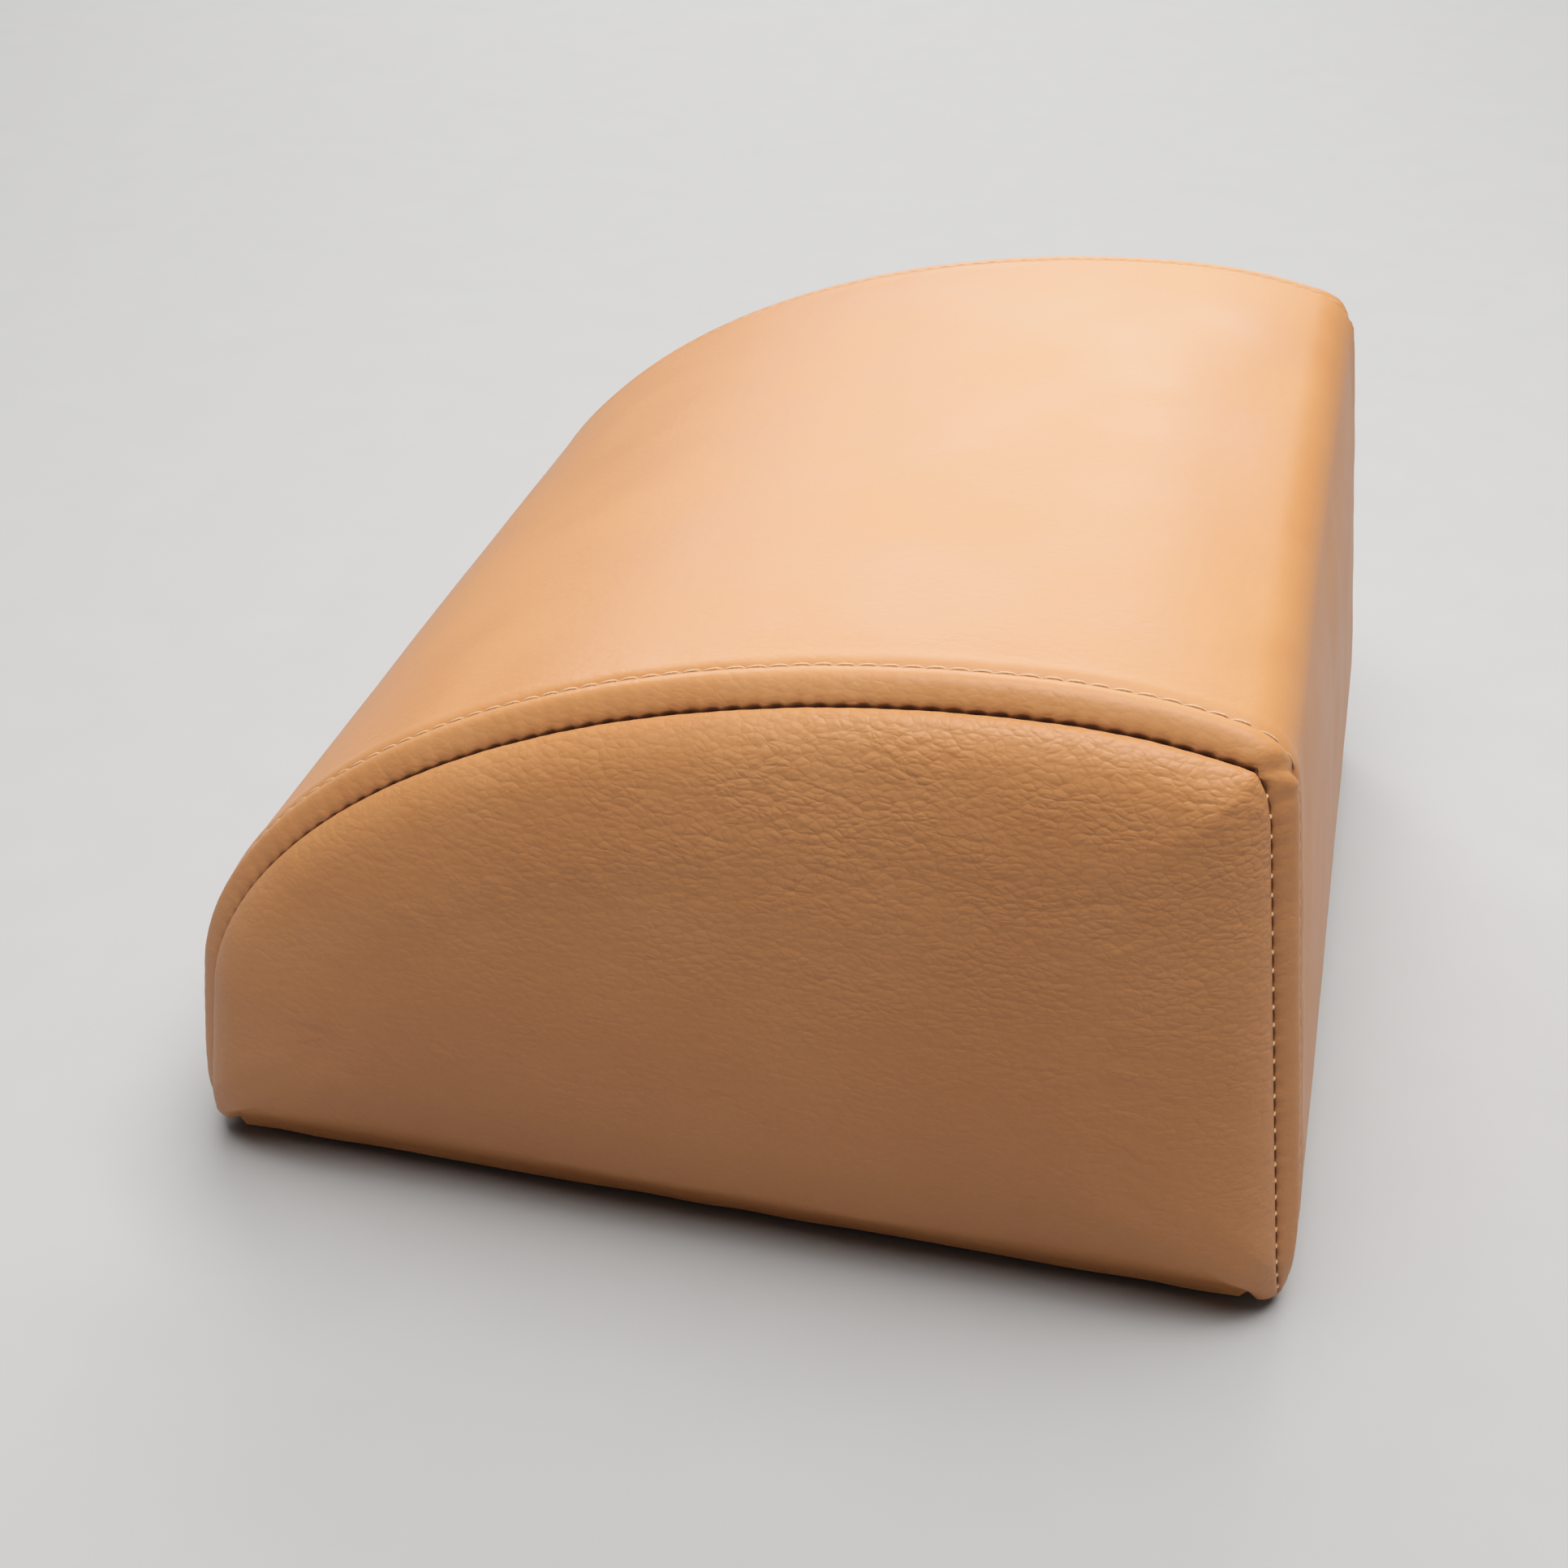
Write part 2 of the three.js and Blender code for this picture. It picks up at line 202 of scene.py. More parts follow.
class Finish:
    # A material: the surface shader, and the nodes that feed it.
    def __init__(self, name, **values):
        self.material = bpy.data.materials.new(name)
        self.material.use_nodes = True
        self.tree = self.material.node_tree
        self.surface = self.tree.nodes["Principled BSDF"]
        for socket, value in values.items():
            self.feed(socket.replace("_", " "), value)

    def link(self, socket, value):
        if isinstance(value, Wire):
            self.tree.links.new(value.socket, socket)
        else:
            socket.default_value = value

    def node(self, kind, settings=None, sockets=None):
        made = self.tree.nodes.new(kind)
        for key, value in (settings or {}).items():
            setattr(made, key, value)
        for key, value in (sockets or {}).items():
            self.link(made.inputs[key], value)
        return Outputs(self, made)

    def feed(self, socket, value):
        self.link(self.surface.inputs[socket], value)

    # The places of the object itself, squeezed along each axis.
    def places(self, scale=(1, 1, 1), turn=(0, 0, 0)):
        raw = self.node("ShaderNodeTexCoord")["Object"]
        return self.node(
            "ShaderNodeMapping", None, {"Vector": raw, "Scale": scale, "Rotation": turn})["Vector"]

    def noise(self, places, scale, detail=2.0, rough=0.5):
        return self.node("ShaderNodeTexNoise", None, {
            "Vector": places, "Scale": scale, "Detail": detail, "Roughness": rough})

    # The same places pushed about by a soft noise, by up to amount.
    def stirred(self, places, scale, amount):
        push = self.noise(places, scale, 1.0)["Color"]
        centred = self.node("ShaderNodeVectorMath", {"operation": "SUBTRACT"}, {
            0: push, 1: (0.5, 0.5, 0.5)})["Vector"]
        scaled = self.node("ShaderNodeVectorMath", {"operation": "SCALE"}, {
            0: centred, "Scale": amount})["Vector"]
        return self.node("ShaderNodeVectorMath", {"operation": "ADD"}, {0: places, 1: scaled})["Vector"]

    def cells(self, places, scale, feature="DISTANCE_TO_EDGE"):
        return self.node("ShaderNodeTexVoronoi", {"feature": feature}, {
            "Vector": places, "Scale": scale})["Distance"]

    def remap(self, value, low, high, toLow=0.0, toHigh=1.0):
        return self.node("ShaderNodeMapRange", {"interpolation_type": "SMOOTHSTEP"}, {
            "Value": value, "From Min": low, "From Max": high,
            "To Min": toLow, "To Max": toHigh})["Result"]

    # Mix keeps its colour sockets at places 6 and 7, and its colour output at 2.
    def mix(self, factor, first, second):
        return self.node("ShaderNodeMix", {"data_type": "RGBA"}, {0: factor, 6: first, 7: second})[2]

    # A value that the piece's own points hold.
    def carried(self, name):
        return self.node("ShaderNodeAttribute", {"attribute_name": name})["Fac"]

    def bump(self, height, depth, strength=1.0):
        return self.node("ShaderNodeBump", None, {
            "Height": height, "Distance": depth, "Strength": strength})["Normal"]


# Finishes.

leather = dict(
    colour=(0.49, 0.190, 0.066, 1),
    pale=(0.52, 0.210, 0.076, 1),
    # deep: painted shade in the grooves of the grain
    deep=(0.40, 0.150, 0.050, 1),  # in the grooves of the grain
    # seam: painted shade down inside a seam, over the raw edges' own darker colour
    seam=(0.045, 0.011, 0.003, 1),  # down inside a seam
    pebble=1.9 * mm,
    squash=(0.78, 1.0, 1.3),  # pebbles are wider than they are high
    relief=0.25 * mm,
    ragged=(1.1 * mm, 0.34 * mm),  # length and reach of the small wander of the creases
    drift=(7 * mm, 2.6 * mm),  # and of the slow one
    patch=42 * mm,
    roughness=(0.42, 0.52),
)


def leatherFinish():
    f = Finish("leatherette", Specular_IOR_Level=0.26)
    slack = f.carried("grain")  # 0 where the cover is stretched flat, 1 where its grain stands up
    # groove: where painted shade goes down inside a seam
    paintedSeamShade = f.carried("groove")
    places = f.places(leather["squash"])
    wandering = f.stirred(places, 1 / leather["drift"][0], leather["drift"][1])
    ragged = f.stirred(wandering, 1 / leather["ragged"][0], leather["ragged"][1])
    pebbles = f.cells(ragged, 1 / leather["pebble"])
    centres = f.cells(ragged, 1 / leather["pebble"], "SMOOTH_F1")
    small = f.cells(ragged, 2.1 / leather["pebble"], "SMOOTH_F1")
    pillows = 1 - centres * centres * 1.5
    smallPillows = 1 - small * small * 1.5
    creases = f.remap(pebbles, 0.0, 0.22)
    firmness = f.remap(f.noise(places, 1 / (13 * mm), 2.0)["Fac"], 0.3, 0.65, 0.55, 1.0)
    pores = f.noise(places, 1 / (0.3 * mm), 2.0)["Fac"]
    height = (pillows * 0.9 + smallPillows * 0.35 + creases * 0.16) * firmness
    f.feed("Normal", f.bump(height * slack + pores * 0.015, leather["relief"]))
    patches = f.noise(f.places(), 1 / leather["patch"], 3.0)["Fac"]
    # painted shade in the grooves of the grain, stronger where the grain stands up
    grainCreaseShade = (1 - f.remap(pebbles, 0.0, 0.07)) * slack
    base = f.mix(f.remap(patches, 0.35, 0.7), leather["colour"], leather["pale"])
    base = f.mix(grainCreaseShade * 0.4, base, leather["deep"])
    # painted shade down inside the seams
    f.feed("Base Color", f.mix(paintedSeamShade, base, leather["seam"]))
    rough = f.remap(patches, 0.3, 0.7, leather["roughness"][0], leather["roughness"][1])
    f.feed("Roughness", rough + grainCreaseShade * 0.1 + paintedSeamShade * 0.3)
    return f.material


def threadFinish():
    f = Finish("sewingThread", Specular_IOR_Level=0.4)
    along = f.node("ShaderNodeUVMap", {"uv_map": "cloth"})["UV"]
    parts = f.node("ShaderNodeSeparateXYZ", None, {"Vector": along})
    plies = 2 * math.pi * 3
    twist = (parts["X"] * plies + parts["Y"] * plies).sine()
    f.feed("Normal", f.bump(twist, 0.018 * mm))
    f.feed("Base Color", f.mix(twist * 0.5 + 0.5, (0.50, 0.25, 0.115, 1), (0.72, 0.44, 0.24, 1)))
    f.feed("Roughness", 0.6)
    return f.material


def clothFinish(name, colour, pale, pitch, rough):
    f = Finish(name, Roughness=rough)
    places = f.places()
    fibres = f.noise(f.places((1, 0.12, 1)), 1 / pitch, 4.0, 0.7)["Fac"]
    across = f.noise(f.places((0.12, 1, 1), (0, 0, 0.6)), 1 / pitch, 4.0, 0.7)["Fac"]
    patches = f.noise(places, 1 / (14 * mm), 2.0)["Fac"]
    weave = fibres * 0.5 + across * 0.5
    f.feed("Base Color", f.mix(f.remap(weave, 0.35, 0.65), colour, pale))
    f.feed("Normal", f.bump(weave + patches * 0.3, 0.18 * mm, 0.9))
    return f.material


def pileFinish():
    f = Finish("loopPile", Roughness=0.95, Sheen_Weight=0.4)
    places = f.places()
    loops = f.cells(f.stirred(places, 1 / (1.2 * mm), 0.4 * mm), 1 / (0.75 * mm), "F1")
    tufts = f.noise(places, 1 / (2.5 * mm), 3.0)["Fac"]
    black = f.mix(f.remap(loops, 0.1, 0.6), (0.028, 0.028, 0.031, 1), (0.006, 0.006, 0.007, 1))
    f.feed("Base Color", black)
    f.feed("Normal", f.bump(tufts * 0.6 - loops, 0.5 * mm, 1.0))
    return f.material


def foamFinish(name, colour, shade, cell):
    f = Finish(name, Roughness=0.9)
    places = f.places()
    pores = f.cells(f.stirred(places, 1 / (2 * mm), 0.4 * mm), 1 / cell, "F1")
    f.feed("Base Color", f.mix(f.remap(pores, 0.2, 0.75), colour, shade))
    f.feed("Normal", f.bump(pores, 0.35 * mm, 0.8))
    return f.material


def fibreFinish():
    f = Finish("fibreWadding", Roughness=0.95)
    tangled = f.stirred(f.places((0.25, 1, 1)), 1 / (5 * mm), 6 * mm)
    strands = f.noise(tangled, 1 / (0.9 * mm), 4.0, 0.75)["Fac"]
    lumps = f.noise(f.places(), 1 / (18 * mm), 2.0)["Fac"]
    white = f.mix(f.remap(strands, 0.35, 0.6), (0.66, 0.66, 0.63, 1), (0.9, 0.9, 0.88, 1))
    f.feed("Base Color", white)
    f.feed("Normal", f.bump(strands * 0.4 + lumps, 1.2 * mm, 0.7))
    return f.material


def plywoodFinish():
    f = Finish("plywood", Specular_IOR_Level=0.3)
    grainPlaces = f.stirred(f.places((0.06, 1, 1)), 1 / (30 * mm), 5 * mm)
    grain = f.noise(grainPlaces, 1 / (1.6 * mm), 4.0, 0.65)["Fac"]
    height = f.node("ShaderNodeSeparateXYZ", None, {"Vector": f.places()})["Z"]
    plies = (height * (2 * math.pi / (3 * mm))).sine() * 0.5 + 0.5
    veneer = f.mix(f.remap(grain, 0.35, 0.65), (0.62, 0.42, 0.22, 1), (0.42, 0.25, 0.11, 1))
    f.feed("Base Color", f.mix(plies * 0.3, veneer, (0.30, 0.17, 0.08, 1)))
    f.feed("Roughness", grain * 0.25 + 0.5)
    f.feed("Normal", f.bump(grain, 0.15 * mm, 0.6))
    return f.material


def wireFinish():
    f = Finish("stapleWire", Metallic=1.0)
    scratches = f.noise(f.places((1, 1, 8)), 1 / (0.5 * mm), 3.0)["Fac"]
    f.feed("Base Color", f.mix(scratches, (0.42, 0.42, 0.44, 1), (0.68, 0.68, 0.70, 1)))
    f.feed("Roughness", scratches * 0.3 + 0.2)
    f.feed("Normal", f.bump(scratches, 0.03 * mm, 0.5))
    return f.material


leatherette = leatherFinish()
thread = threadFinish()
cambric = clothFinish("cambric", (0.010, 0.010, 0.011, 1), (0.034, 0.034, 0.037, 1), 0.5 * mm, 0.88)
loopPile = pileFinish()
softFoam = foamFinish("comfortFoam", (0.86, 0.76, 0.50, 1), (0.60, 0.50, 0.28, 1), 0.9 * mm)
firmFoam = foamFinish("coreFoam", (0.48, 0.53, 0.60, 1), (0.28, 0.32, 0.38, 1), 0.7 * mm)
fibre = fibreFinish()
plywood = plywoodFinish()
stapleWire = wireFinish()
report("finishes made")


# Camera, floor and light.

view = dict(
    place=(105.9 * mm, -494.9 * mm, 357.9 * mm),
    yaw=math.radians(-13.77),  # turned from looking along +Y, negative towards -X
    pitch=math.radians(32.19),  # looking down
    roll=math.radians(0.34),
    lens=54.62,
)


def makeCamera():
    data = bpy.data.cameras.new("camera")
    data.lens = view["lens"]
    data.sensor_width = 36
    data.clip_start = 0.01
    data.clip_end = 50
    camera = bpy.data.objects.new("camera", data)
    bpy.context.scene.collection.objects.link(camera)
    level = math.cos(view["pitch"])
    forward = Vector((
        math.sin(view["yaw"]) * level, math.cos(view["yaw"]) * level, -math.sin(view["pitch"])))
    right = forward.cross(Vector((0, 0, 1))).normalized()
    up = right.cross(forward)
    turnedRight = right * math.cos(view["roll"]) + up * math.sin(view["roll"])
    turnedUp = turnedRight.cross(forward)
    turn = Matrix((turnedRight, turnedUp, -forward)).transposed()
    camera.matrix_world = Matrix.Translation(view["place"]) @ turn.to_4x4()
    bpy.context.scene.camera = camera


studio = dict(
    floor=12,
    sky=0.05,
    aim=(0, 0, 70 * mm),
    lights=dict(  # place, width, height and watts
        overhead=((0.15, -0.12, 1.35), 1.2, 0.9, 37),
        behind=((-0.36, 1.40, 0.95), 1.5, 0.9, 28),
        rightFill=((1.4, 0.1, 0.5), 0.8, 0.8, 0.9),
    ),
)


def softBox(name, place, width, height, power):
    data = bpy.data.lights.new(name, "AREA")
    data.shape = "RECTANGLE"
    data.size = width
    data.size_y = height
    data.energy = power
    light = bpy.data.objects.new(name, data)
    bpy.context.scene.collection.objects.link(light)
    light.location = place
    light.rotation_euler = (Vector(studio["aim"]) - Vector(place)).to_track_quat("-Z", "Y").to_euler()


def makeStudio():
    bpy.ops.object.select_all(action="DESELECT")
    bpy.ops.mesh.primitive_plane_add(size=studio["floor"], location=(0, 0, 0))
    floor = bpy.context.object
    floor.name = "floor"
    f = Finish("floorPaper", Roughness=0.9, Specular_IOR_Level=0.2)
    speckle = f.noise(f.places(), 40.0, 3.0)["Fac"]
    f.feed("Base Color", f.mix(speckle, (0.365, 0.362, 0.357, 1), (0.385, 0.382, 0.377, 1)))
    floor.data.materials.append(f.material)
    floor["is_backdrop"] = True
    world = bpy.data.worlds.new("studio")
    world.use_nodes = True
    sky = world.node_tree.nodes["Background"].inputs
    sky["Color"].default_value = (1, 0.99, 0.98, 1)
    sky["Strength"].default_value = studio["sky"]
    bpy.context.scene.world = world
    for name, light in studio["lights"].items():
        softBox(name, *light)


film = dict(
    brightest=2.0,
    shoulder=[(0.0, 0.0), (0.2, 0.4), (0.35, 0.61), (0.5, 0.79), (0.675, 0.91), (1.0, 1.0)],
)


def setFilm():
    # bright leather rolls off softly instead of clipping
    settings = bpy.context.scene.view_settings
    settings.view_transform = "Standard"
    settings.use_curve_mapping = True
    curves = settings.curve_mapping
    curves.white_level = (film["brightest"],) * 3
    together = curves.curves[3]
    together.points[0].location = film["shoulder"][0]
    together.points[1].location = film["shoulder"][-1]
    for place in film["shoulder"][1:-1]:
        together.points.new(*place)
    curves.update()


makeCamera()
makeStudio()
setFilm()
report("camera, floor and light set")


# The cushion's cross-section.

form = dict(
    noseHeight=43 * mm,  # straight part of the nose wall
    noseLean=math.radians(8.4),
    tallLean=math.radians(7),
    nosePull=0.45,
    slopePull=0.585,
    crownSetback=56 * mm,
    shoulderSetback=23.5 * mm,
    shoulderDrop=3.7 * mm,
    shoulderFall=math.radians(13.7),
    shoulderPull=0.35,
    cornerRadius=9.4 * mm,
    footRadius=3.2 * mm,  # where the cover turns under the board
    footEase=0.2,  # rounder lower corners further in from the edge of an end panel
    hem=22 * mm,
    step=1.05 * mm,  # between points along the section
)


def wallX(side, inset, height):
    lean = form["noseLean"] if side < 0 else form["tallLean"]
    return side * (halfWidth - inset / math.cos(lean) - height * math.tan(lean))


def bezier(start, startHandle, endHandle, end, count=200):
    t = np.linspace(0, 1, count)[:, None]
    return (start * (1 - t) ** 3 + startHandle * 3 * t * (1 - t) ** 2
            + endHandle * 3 * t * t * (1 - t) + end * t ** 3)


def fillet(p, n, q, m, radius):
    # arc of that radius between two lines, each given by a point and its outward normal
    centre = np.linalg.solve(np.array([n, m]), [n @ p - radius, m @ q - radius])
    start = math.atan2(n[1], n[0])
    end = math.atan2(m[1], m[0])
    if end > start:
        end -= 2 * math.pi
    angles = np.linspace(start, end, 40)
    return centre + radius * np.stack([np.cos(angles), np.sin(angles)], 1)


def evenly(points, count):
    steps = np.linalg.norm(np.diff(points, axis=0), axis=1)
    along = np.r_[0, np.cumsum(steps)]
    at = np.linspace(0, along[-1], count + 1)
    return np.stack([np.interp(at, along, points[:, k]) for k in range(points.shape[1])], 1)


def stretches(inset, foot):
    # the section's stretches from the foot of the nose wall over the crown to that of the tall wall
    c = form
    noseNormal = np.array([-math.cos(c["noseLean"]), math.sin(c["noseLean"])])
    tallNormal = np.array([math.cos(c["tallLean"]), math.sin(c["tallLean"])])
    noseTop = np.array([wallX(-1, inset, c["noseHeight"]), c["noseHeight"]])
    crown = np.array([halfWidth - c["crownSetback"], seamHeight - inset])
    noseUp = np.array([math.sin(c["noseLean"]), math.cos(c["noseLean"])])
    noseHandle = noseTop + noseUp * c["nosePull"] * (crown[1] - noseTop[1])
    crownHandle = crown - np.array([c["slopePull"] * (crown[0] - noseTop[0]), 0])
    fallNormal = np.array([math.sin(c["shoulderFall"]), math.cos(c["shoulderFall"])])
    shoulder = np.array([halfWidth - c["shoulderSetback"], seamHeight - c["shoulderDrop"]])
    shoulder = shoulder - fallNormal * inset
    tallFoot = np.array([wallX(1, inset, foot), foot])
    radius = max(c["cornerRadius"] - inset, c["cornerRadius"] / 3)
    corner = fillet(shoulder, fallNormal, tallFoot, tallNormal, radius)
    soften = c["shoulderPull"] * np.linalg.norm(corner[0] - crown)
    fall = np.array([fallNormal[1], -fallNormal[0]])
    down = np.array([0.0, -1.0])
    footRadius = max(c["footRadius"] - inset, c["footRadius"] / 4) + c["footEase"] * foot
    base = np.array([0.0, foot])
    noseTurn = fillet(base, down, noseTop, noseNormal, footRadius)
    tallTurn = fillet(tallFoot, tallNormal, base, down, footRadius)
    return [
        noseTurn,
        np.array([noseTurn[-1], noseTop]),
        bezier(noseTop, noseHandle, crownHandle, crown),
        bezier(crown, crown + np.array([soften, 0]), corner[0] - fall * soften, corner[0]),
        corner,
        np.array([corner[-1], tallTurn[0]]),
        tallTurn,
    ]


def lengthOf(points):
    return np.linalg.norm(np.diff(points, axis=0), axis=1).sum()


counts = [max(4, round(lengthOf(s) / form["step"])) for s in stretches(0, 0)]


def section(inset=0.0, foot=0.0):
    # points at the same stations for every inset
    parts = [evenly(s, n) for s, n in zip(stretches(inset, foot), counts)]
    return np.concatenate([p[:-1] for p in parts[:-1]] + [parts[-1]])


def normals(points):
    along = np.gradient(points, axis=0)
    along /= np.linalg.norm(along, axis=1)[:, None]
    return np.stack([-along[:, 1], along[:, 0]], 1)


sewn = section()  # the seam line
sewnNormal = normals(sewn)
arc = np.r_[0, np.cumsum(np.linalg.norm(np.diff(sewn, axis=0), axis=1))]
kinkAt = arc[sum(counts[:4])] + 4.5 * mm  # where the seam turns down, a little into the tall corner
seamLength = arc[-1]
report(f"seam is {seamLength / mm:.0f} mm long in {len(sewn)} steps")

cover = dict(
    bulge=4.7 * mm,  # the wrap stands out beyond its seams
    bulgeRoll=2.0 * mm,
    swellRise=12 * mm,  # and less near the board
    domeDepth=12 * mm,  # the end panels stand out beyond theirs
    domeWidth=27 * mm,
    domeFoot=28 * mm,  # height over which their foot comes forward
    firm=0.92,  # share of the swelling that the filling gives, before the cloth simulation
    stitch=4.3 * mm,
    topstitch=6.3 * mm,  # from the seam
    kink=1.2 * mm,  # the seam turns sharply at the tall corner
    kinkWidth=2.4 * mm,  # along the seam
    kinkReach=4 * mm,  # in from the seam
    kinkRun=12 * mm,
    tallPush=1.0 * mm,  # the seam stands out down the tall wall
    pushReach=15 * mm,
    wander=0.22 * mm,
    wanderReach=12 * mm,  # how far in from the seam it carries
    footPull=3 * mm,  # the seam is pulled in at its foot
    footRise=13 * mm,
)


def riseAt(height):
    return 1 - np.exp(-np.clip(height, 0, None) / cover["swellRise"])


def seamOut(along, distance):
    # how far the seam stands out of the plain section: sharply at the tall corner, evenly below it
    fading = np.abs(along - kinkAt) / cover["kinkWidth"] + distance / cover["kinkReach"]
    corner = cover["kink"] * np.exp(-fading)
    below = smoothStep(kinkAt, kinkAt + cover["kinkRun"], along)
    return corner + cover["tallPush"] * below * np.exp(-distance / cover["pushReach"])


# Cloth simulation: the cover over its filling.

cloth = dict(
    cell=5 * mm,
    frames=20,
    settings=dict(
        quality=7,
        mass=0.3,
        tension_stiffness=28,
        compression_stiffness=18,
        shear_stiffness=9,
        bending_stiffness=2.5,
        tension_damping=8,
        compression_damping=8,
        shear_damping=8,
        air_damping=2,
        use_pressure=True,
        uniform_pressure_force=4.0,
        shrink_min=-0.012,  # slack
        vertex_group_mass="sewn",
    ),
    capOut=2.2 * mm,
    capIn=0.35 * mm,
    share=0.25,  # of the free movement, since the filling holds the cover back
    blur=4.2 * mm,
)


def fillOutline(boundary, spacing, margin):
    # triangles that fill a closed outline, with points inside it at an even spacing
    low, high = boundary.min(0), boundary.max(0)
    xs = np.arange(low[0] + spacing / 2, high[0], spacing)
    zs = np.arange(low[1] + spacing / 2, high[1], spacing * 0.87)
    lattice = []
    ends = np.roll(boundary, -1, axis=0)
    for k, z in enumerate(zs):
        crossing = (boundary[:, 1] > z) != (ends[:, 1] > z)
        a, b = boundary[crossing], ends[crossing]
        cuts = a[:, 0] + (z - a[:, 1]) / (b[:, 1] - a[:, 1]) * (b[:, 0] - a[:, 0])
        for x in xs + (k % 2) * spacing / 2:
            inside = (cuts > x).sum() % 2
            if inside and np.linalg.norm(boundary - [x, z], axis=1).min() > margin:
                lattice.append((x, z))
    points = np.concatenate([boundary, np.array(lattice).reshape(-1, 2)])
    scale = 1 / mm
    edges = [(i, (i + 1) % len(boundary)) for i in range(len(boundary))]
    made = delaunay_2d_cdt([Vector(p * scale) for p in points], edges, [], 1, 1e-5)
    return np.array(made[0]).reshape(-1, 2) / scale, made[2], made[3]


def baseLine(points, spacing):
    # from the tall foot back to the nose foot, without its two ends
    gap = points[-1, 0] - points[0, 0]
    count = max(2, round(gap / spacing))
    xs = np.linspace(points[-1, 0], points[0, 0], count + 1)[1:-1]
    return np.stack([xs, np.full(len(xs), points[0, 1])], 1)


def standOff(distance):
    # how far the filling holds the wrap out of the seam line, at a distance from the seam
    return cover["firm"] * cover["bulge"] * (1 - np.exp(-distance / cover["bulgeRoll"]))


def runCloth(sack, pinned):
    # where the sack's points lie after the simulation
    group = sack.vertex_groups.new(name="sewn")
    group.add(sorted(pinned), 1.0, "REPLACE")
    modifier = sack.modifiers.new("cover", "CLOTH")
    for key, value in cloth["settings"].items():
        setattr(modifier.settings, key, value)
    modifier.settings.effector_weights.gravity = 0
    modifier.collision_settings.use_collision = False
    modifier.point_cache.frame_start = 1
    modifier.point_cache.frame_end = cloth["frames"]
    for number in range(1, cloth["frames"] + 1):
        bpy.context.scene.frame_set(number)
    graph = bpy.context.evaluated_depsgraph_get()
    moved = readPoints(sack.evaluated_get(graph).data)
    bpy.context.scene.frame_set(1)
    return moved


def capped(value):
    value = value * cloth["share"]
    limit = np.where(value > 0, cloth["capOut"], cloth["capIn"])
    return limit * np.tanh(value / limit)


def simulateCover():
    stride = round(cloth["cell"] / form["step"])
    columns = np.unique(np.r_[np.arange(0, len(sewn), stride), len(sewn) - 1])
    rows = np.linspace(-seamY, seamY, round(2 * seamY / cloth["cell"]) + 1)
    line = sewn[columns]
    lineNormal = sewnNormal[columns]
    offset = standOff(seamY - np.abs(rows))[:, None] * riseAt(line[:, 1])[None, :]
    shell = np.zeros((len(rows), len(columns), 3))
    shell[:, :, 0] = line[:, 0] + lineNormal[:, 0] * offset
    shell[:, :, 2] = line[:, 1] + lineNormal[:, 1] * offset
    shell[:, :, 1] = rows[:, None]
    points = [shell.reshape(-1, 3)]
    faces = [list(f) for f in gridFaces(len(rows), len(columns))]
    pinned = {int(i) for r in range(len(rows)) for i in (r * len(columns), (r + 1) * len(columns) - 1)}
    total = shell.size // 3
    boundary = np.concatenate([line, baseLine(line, cloth["cell"])])
    flat, triangles, origins = fillOutline(boundary, cloth["cell"], 0.6 * cloth["cell"])
    panels = []
    for row, side in ((0, -1), (len(rows) - 1, 1)):
        index = np.zeros(len(flat), int)
        extra = []
        for k, source in enumerate(origins):
            if source and source[0] < len(columns):
                index[k] = row * len(columns) + source[0]
                pinned.add(int(index[k]))
            else:
                index[k] = total + len(extra)
                extra.append((flat[k, 0], side * seamY, flat[k, 1]))
                if source and source[0] < len(boundary):
                    pinned.add(int(index[k]))
        total += len(extra)
        points.append(np.array(extra))
        for t in triangles:
            faces.append([index[i] for i in (t if side > 0 else t[::-1])])
        panels.append(index)
    rest = np.concatenate(points)
    rest[:, 2] += under
    sack = newPiece("sack", rest, faces)
    faceOutwards(sack)
    moved = runCloth(sack, pinned)
    bpy.data.objects.remove(sack)
    shift = moved - rest
    gridShift = shift[: shell.size // 3].reshape(shell.shape)
    outward = gridShift[:, :, 0] * lineNormal[:, 0] + gridShift[:, :, 2] * lineNormal[:, 1]
    panelShift = [shift[index][:, 1] * side for index, side in zip(panels, (-1, 1))]
    spread = [np.percentile(v, (2, 25, 50, 75, 98)) / mm for v in (outward, panelShift[0])]
    report(f"cloth moved outwards, wrap {spread[0].round(1)} and panel {spread[1].round(1)} mm")
    return dict(
        rows=rows, arc=arc[columns], wrap=capped(outward),
        flat=flat, front=capped(panelShift[0]), rear=capped(panelShift[1]))


def softWeights(fine, coarse, width):
    weights = gauss(fine[:, None] - coarse[None, :], width)
    return weights / weights.sum(1)[:, None]


swell = simulateCover()
report("cover simulated")


# The wrap.

seamEdge = dict(
    mouth=0.55 * mm,  # half of the gap between wrap and panel
    depth=3.4 * mm,  # how deep the edges are rolled in
    round=0.6 * mm,
    pinch=0.2 * mm,  # where a stitch pulls the edges together
    tooth=0.5 * mm,  # the edge steps from stitch to stitch
    toothReach=1.3 * mm,
)

grainOf = dict(wrap=0.16, strip=0.22, panel=0.4, panelUpper=0.6)

channel = dict(
    depth=0.32 * mm,  # the topstitch lies in a shallow channel
    width=0.7 * mm,
    wander=0.18 * mm,
    hole=0.38 * mm,
    holeWidth=0.5 * mm,
    strip=0.5 * mm,  # the strip beside the seam is puffed up
    stripAt=3.3 * mm,
    stripWidth=1.8 * mm,
    beyond=0.22 * mm,  # and so is the leather on the other side of the channel
    beyondAt=9 * mm,
    beyondWidth=1.7 * mm,
    pullReach=1.6 * mm,  # how far a seam stitch pulls the edge down
)

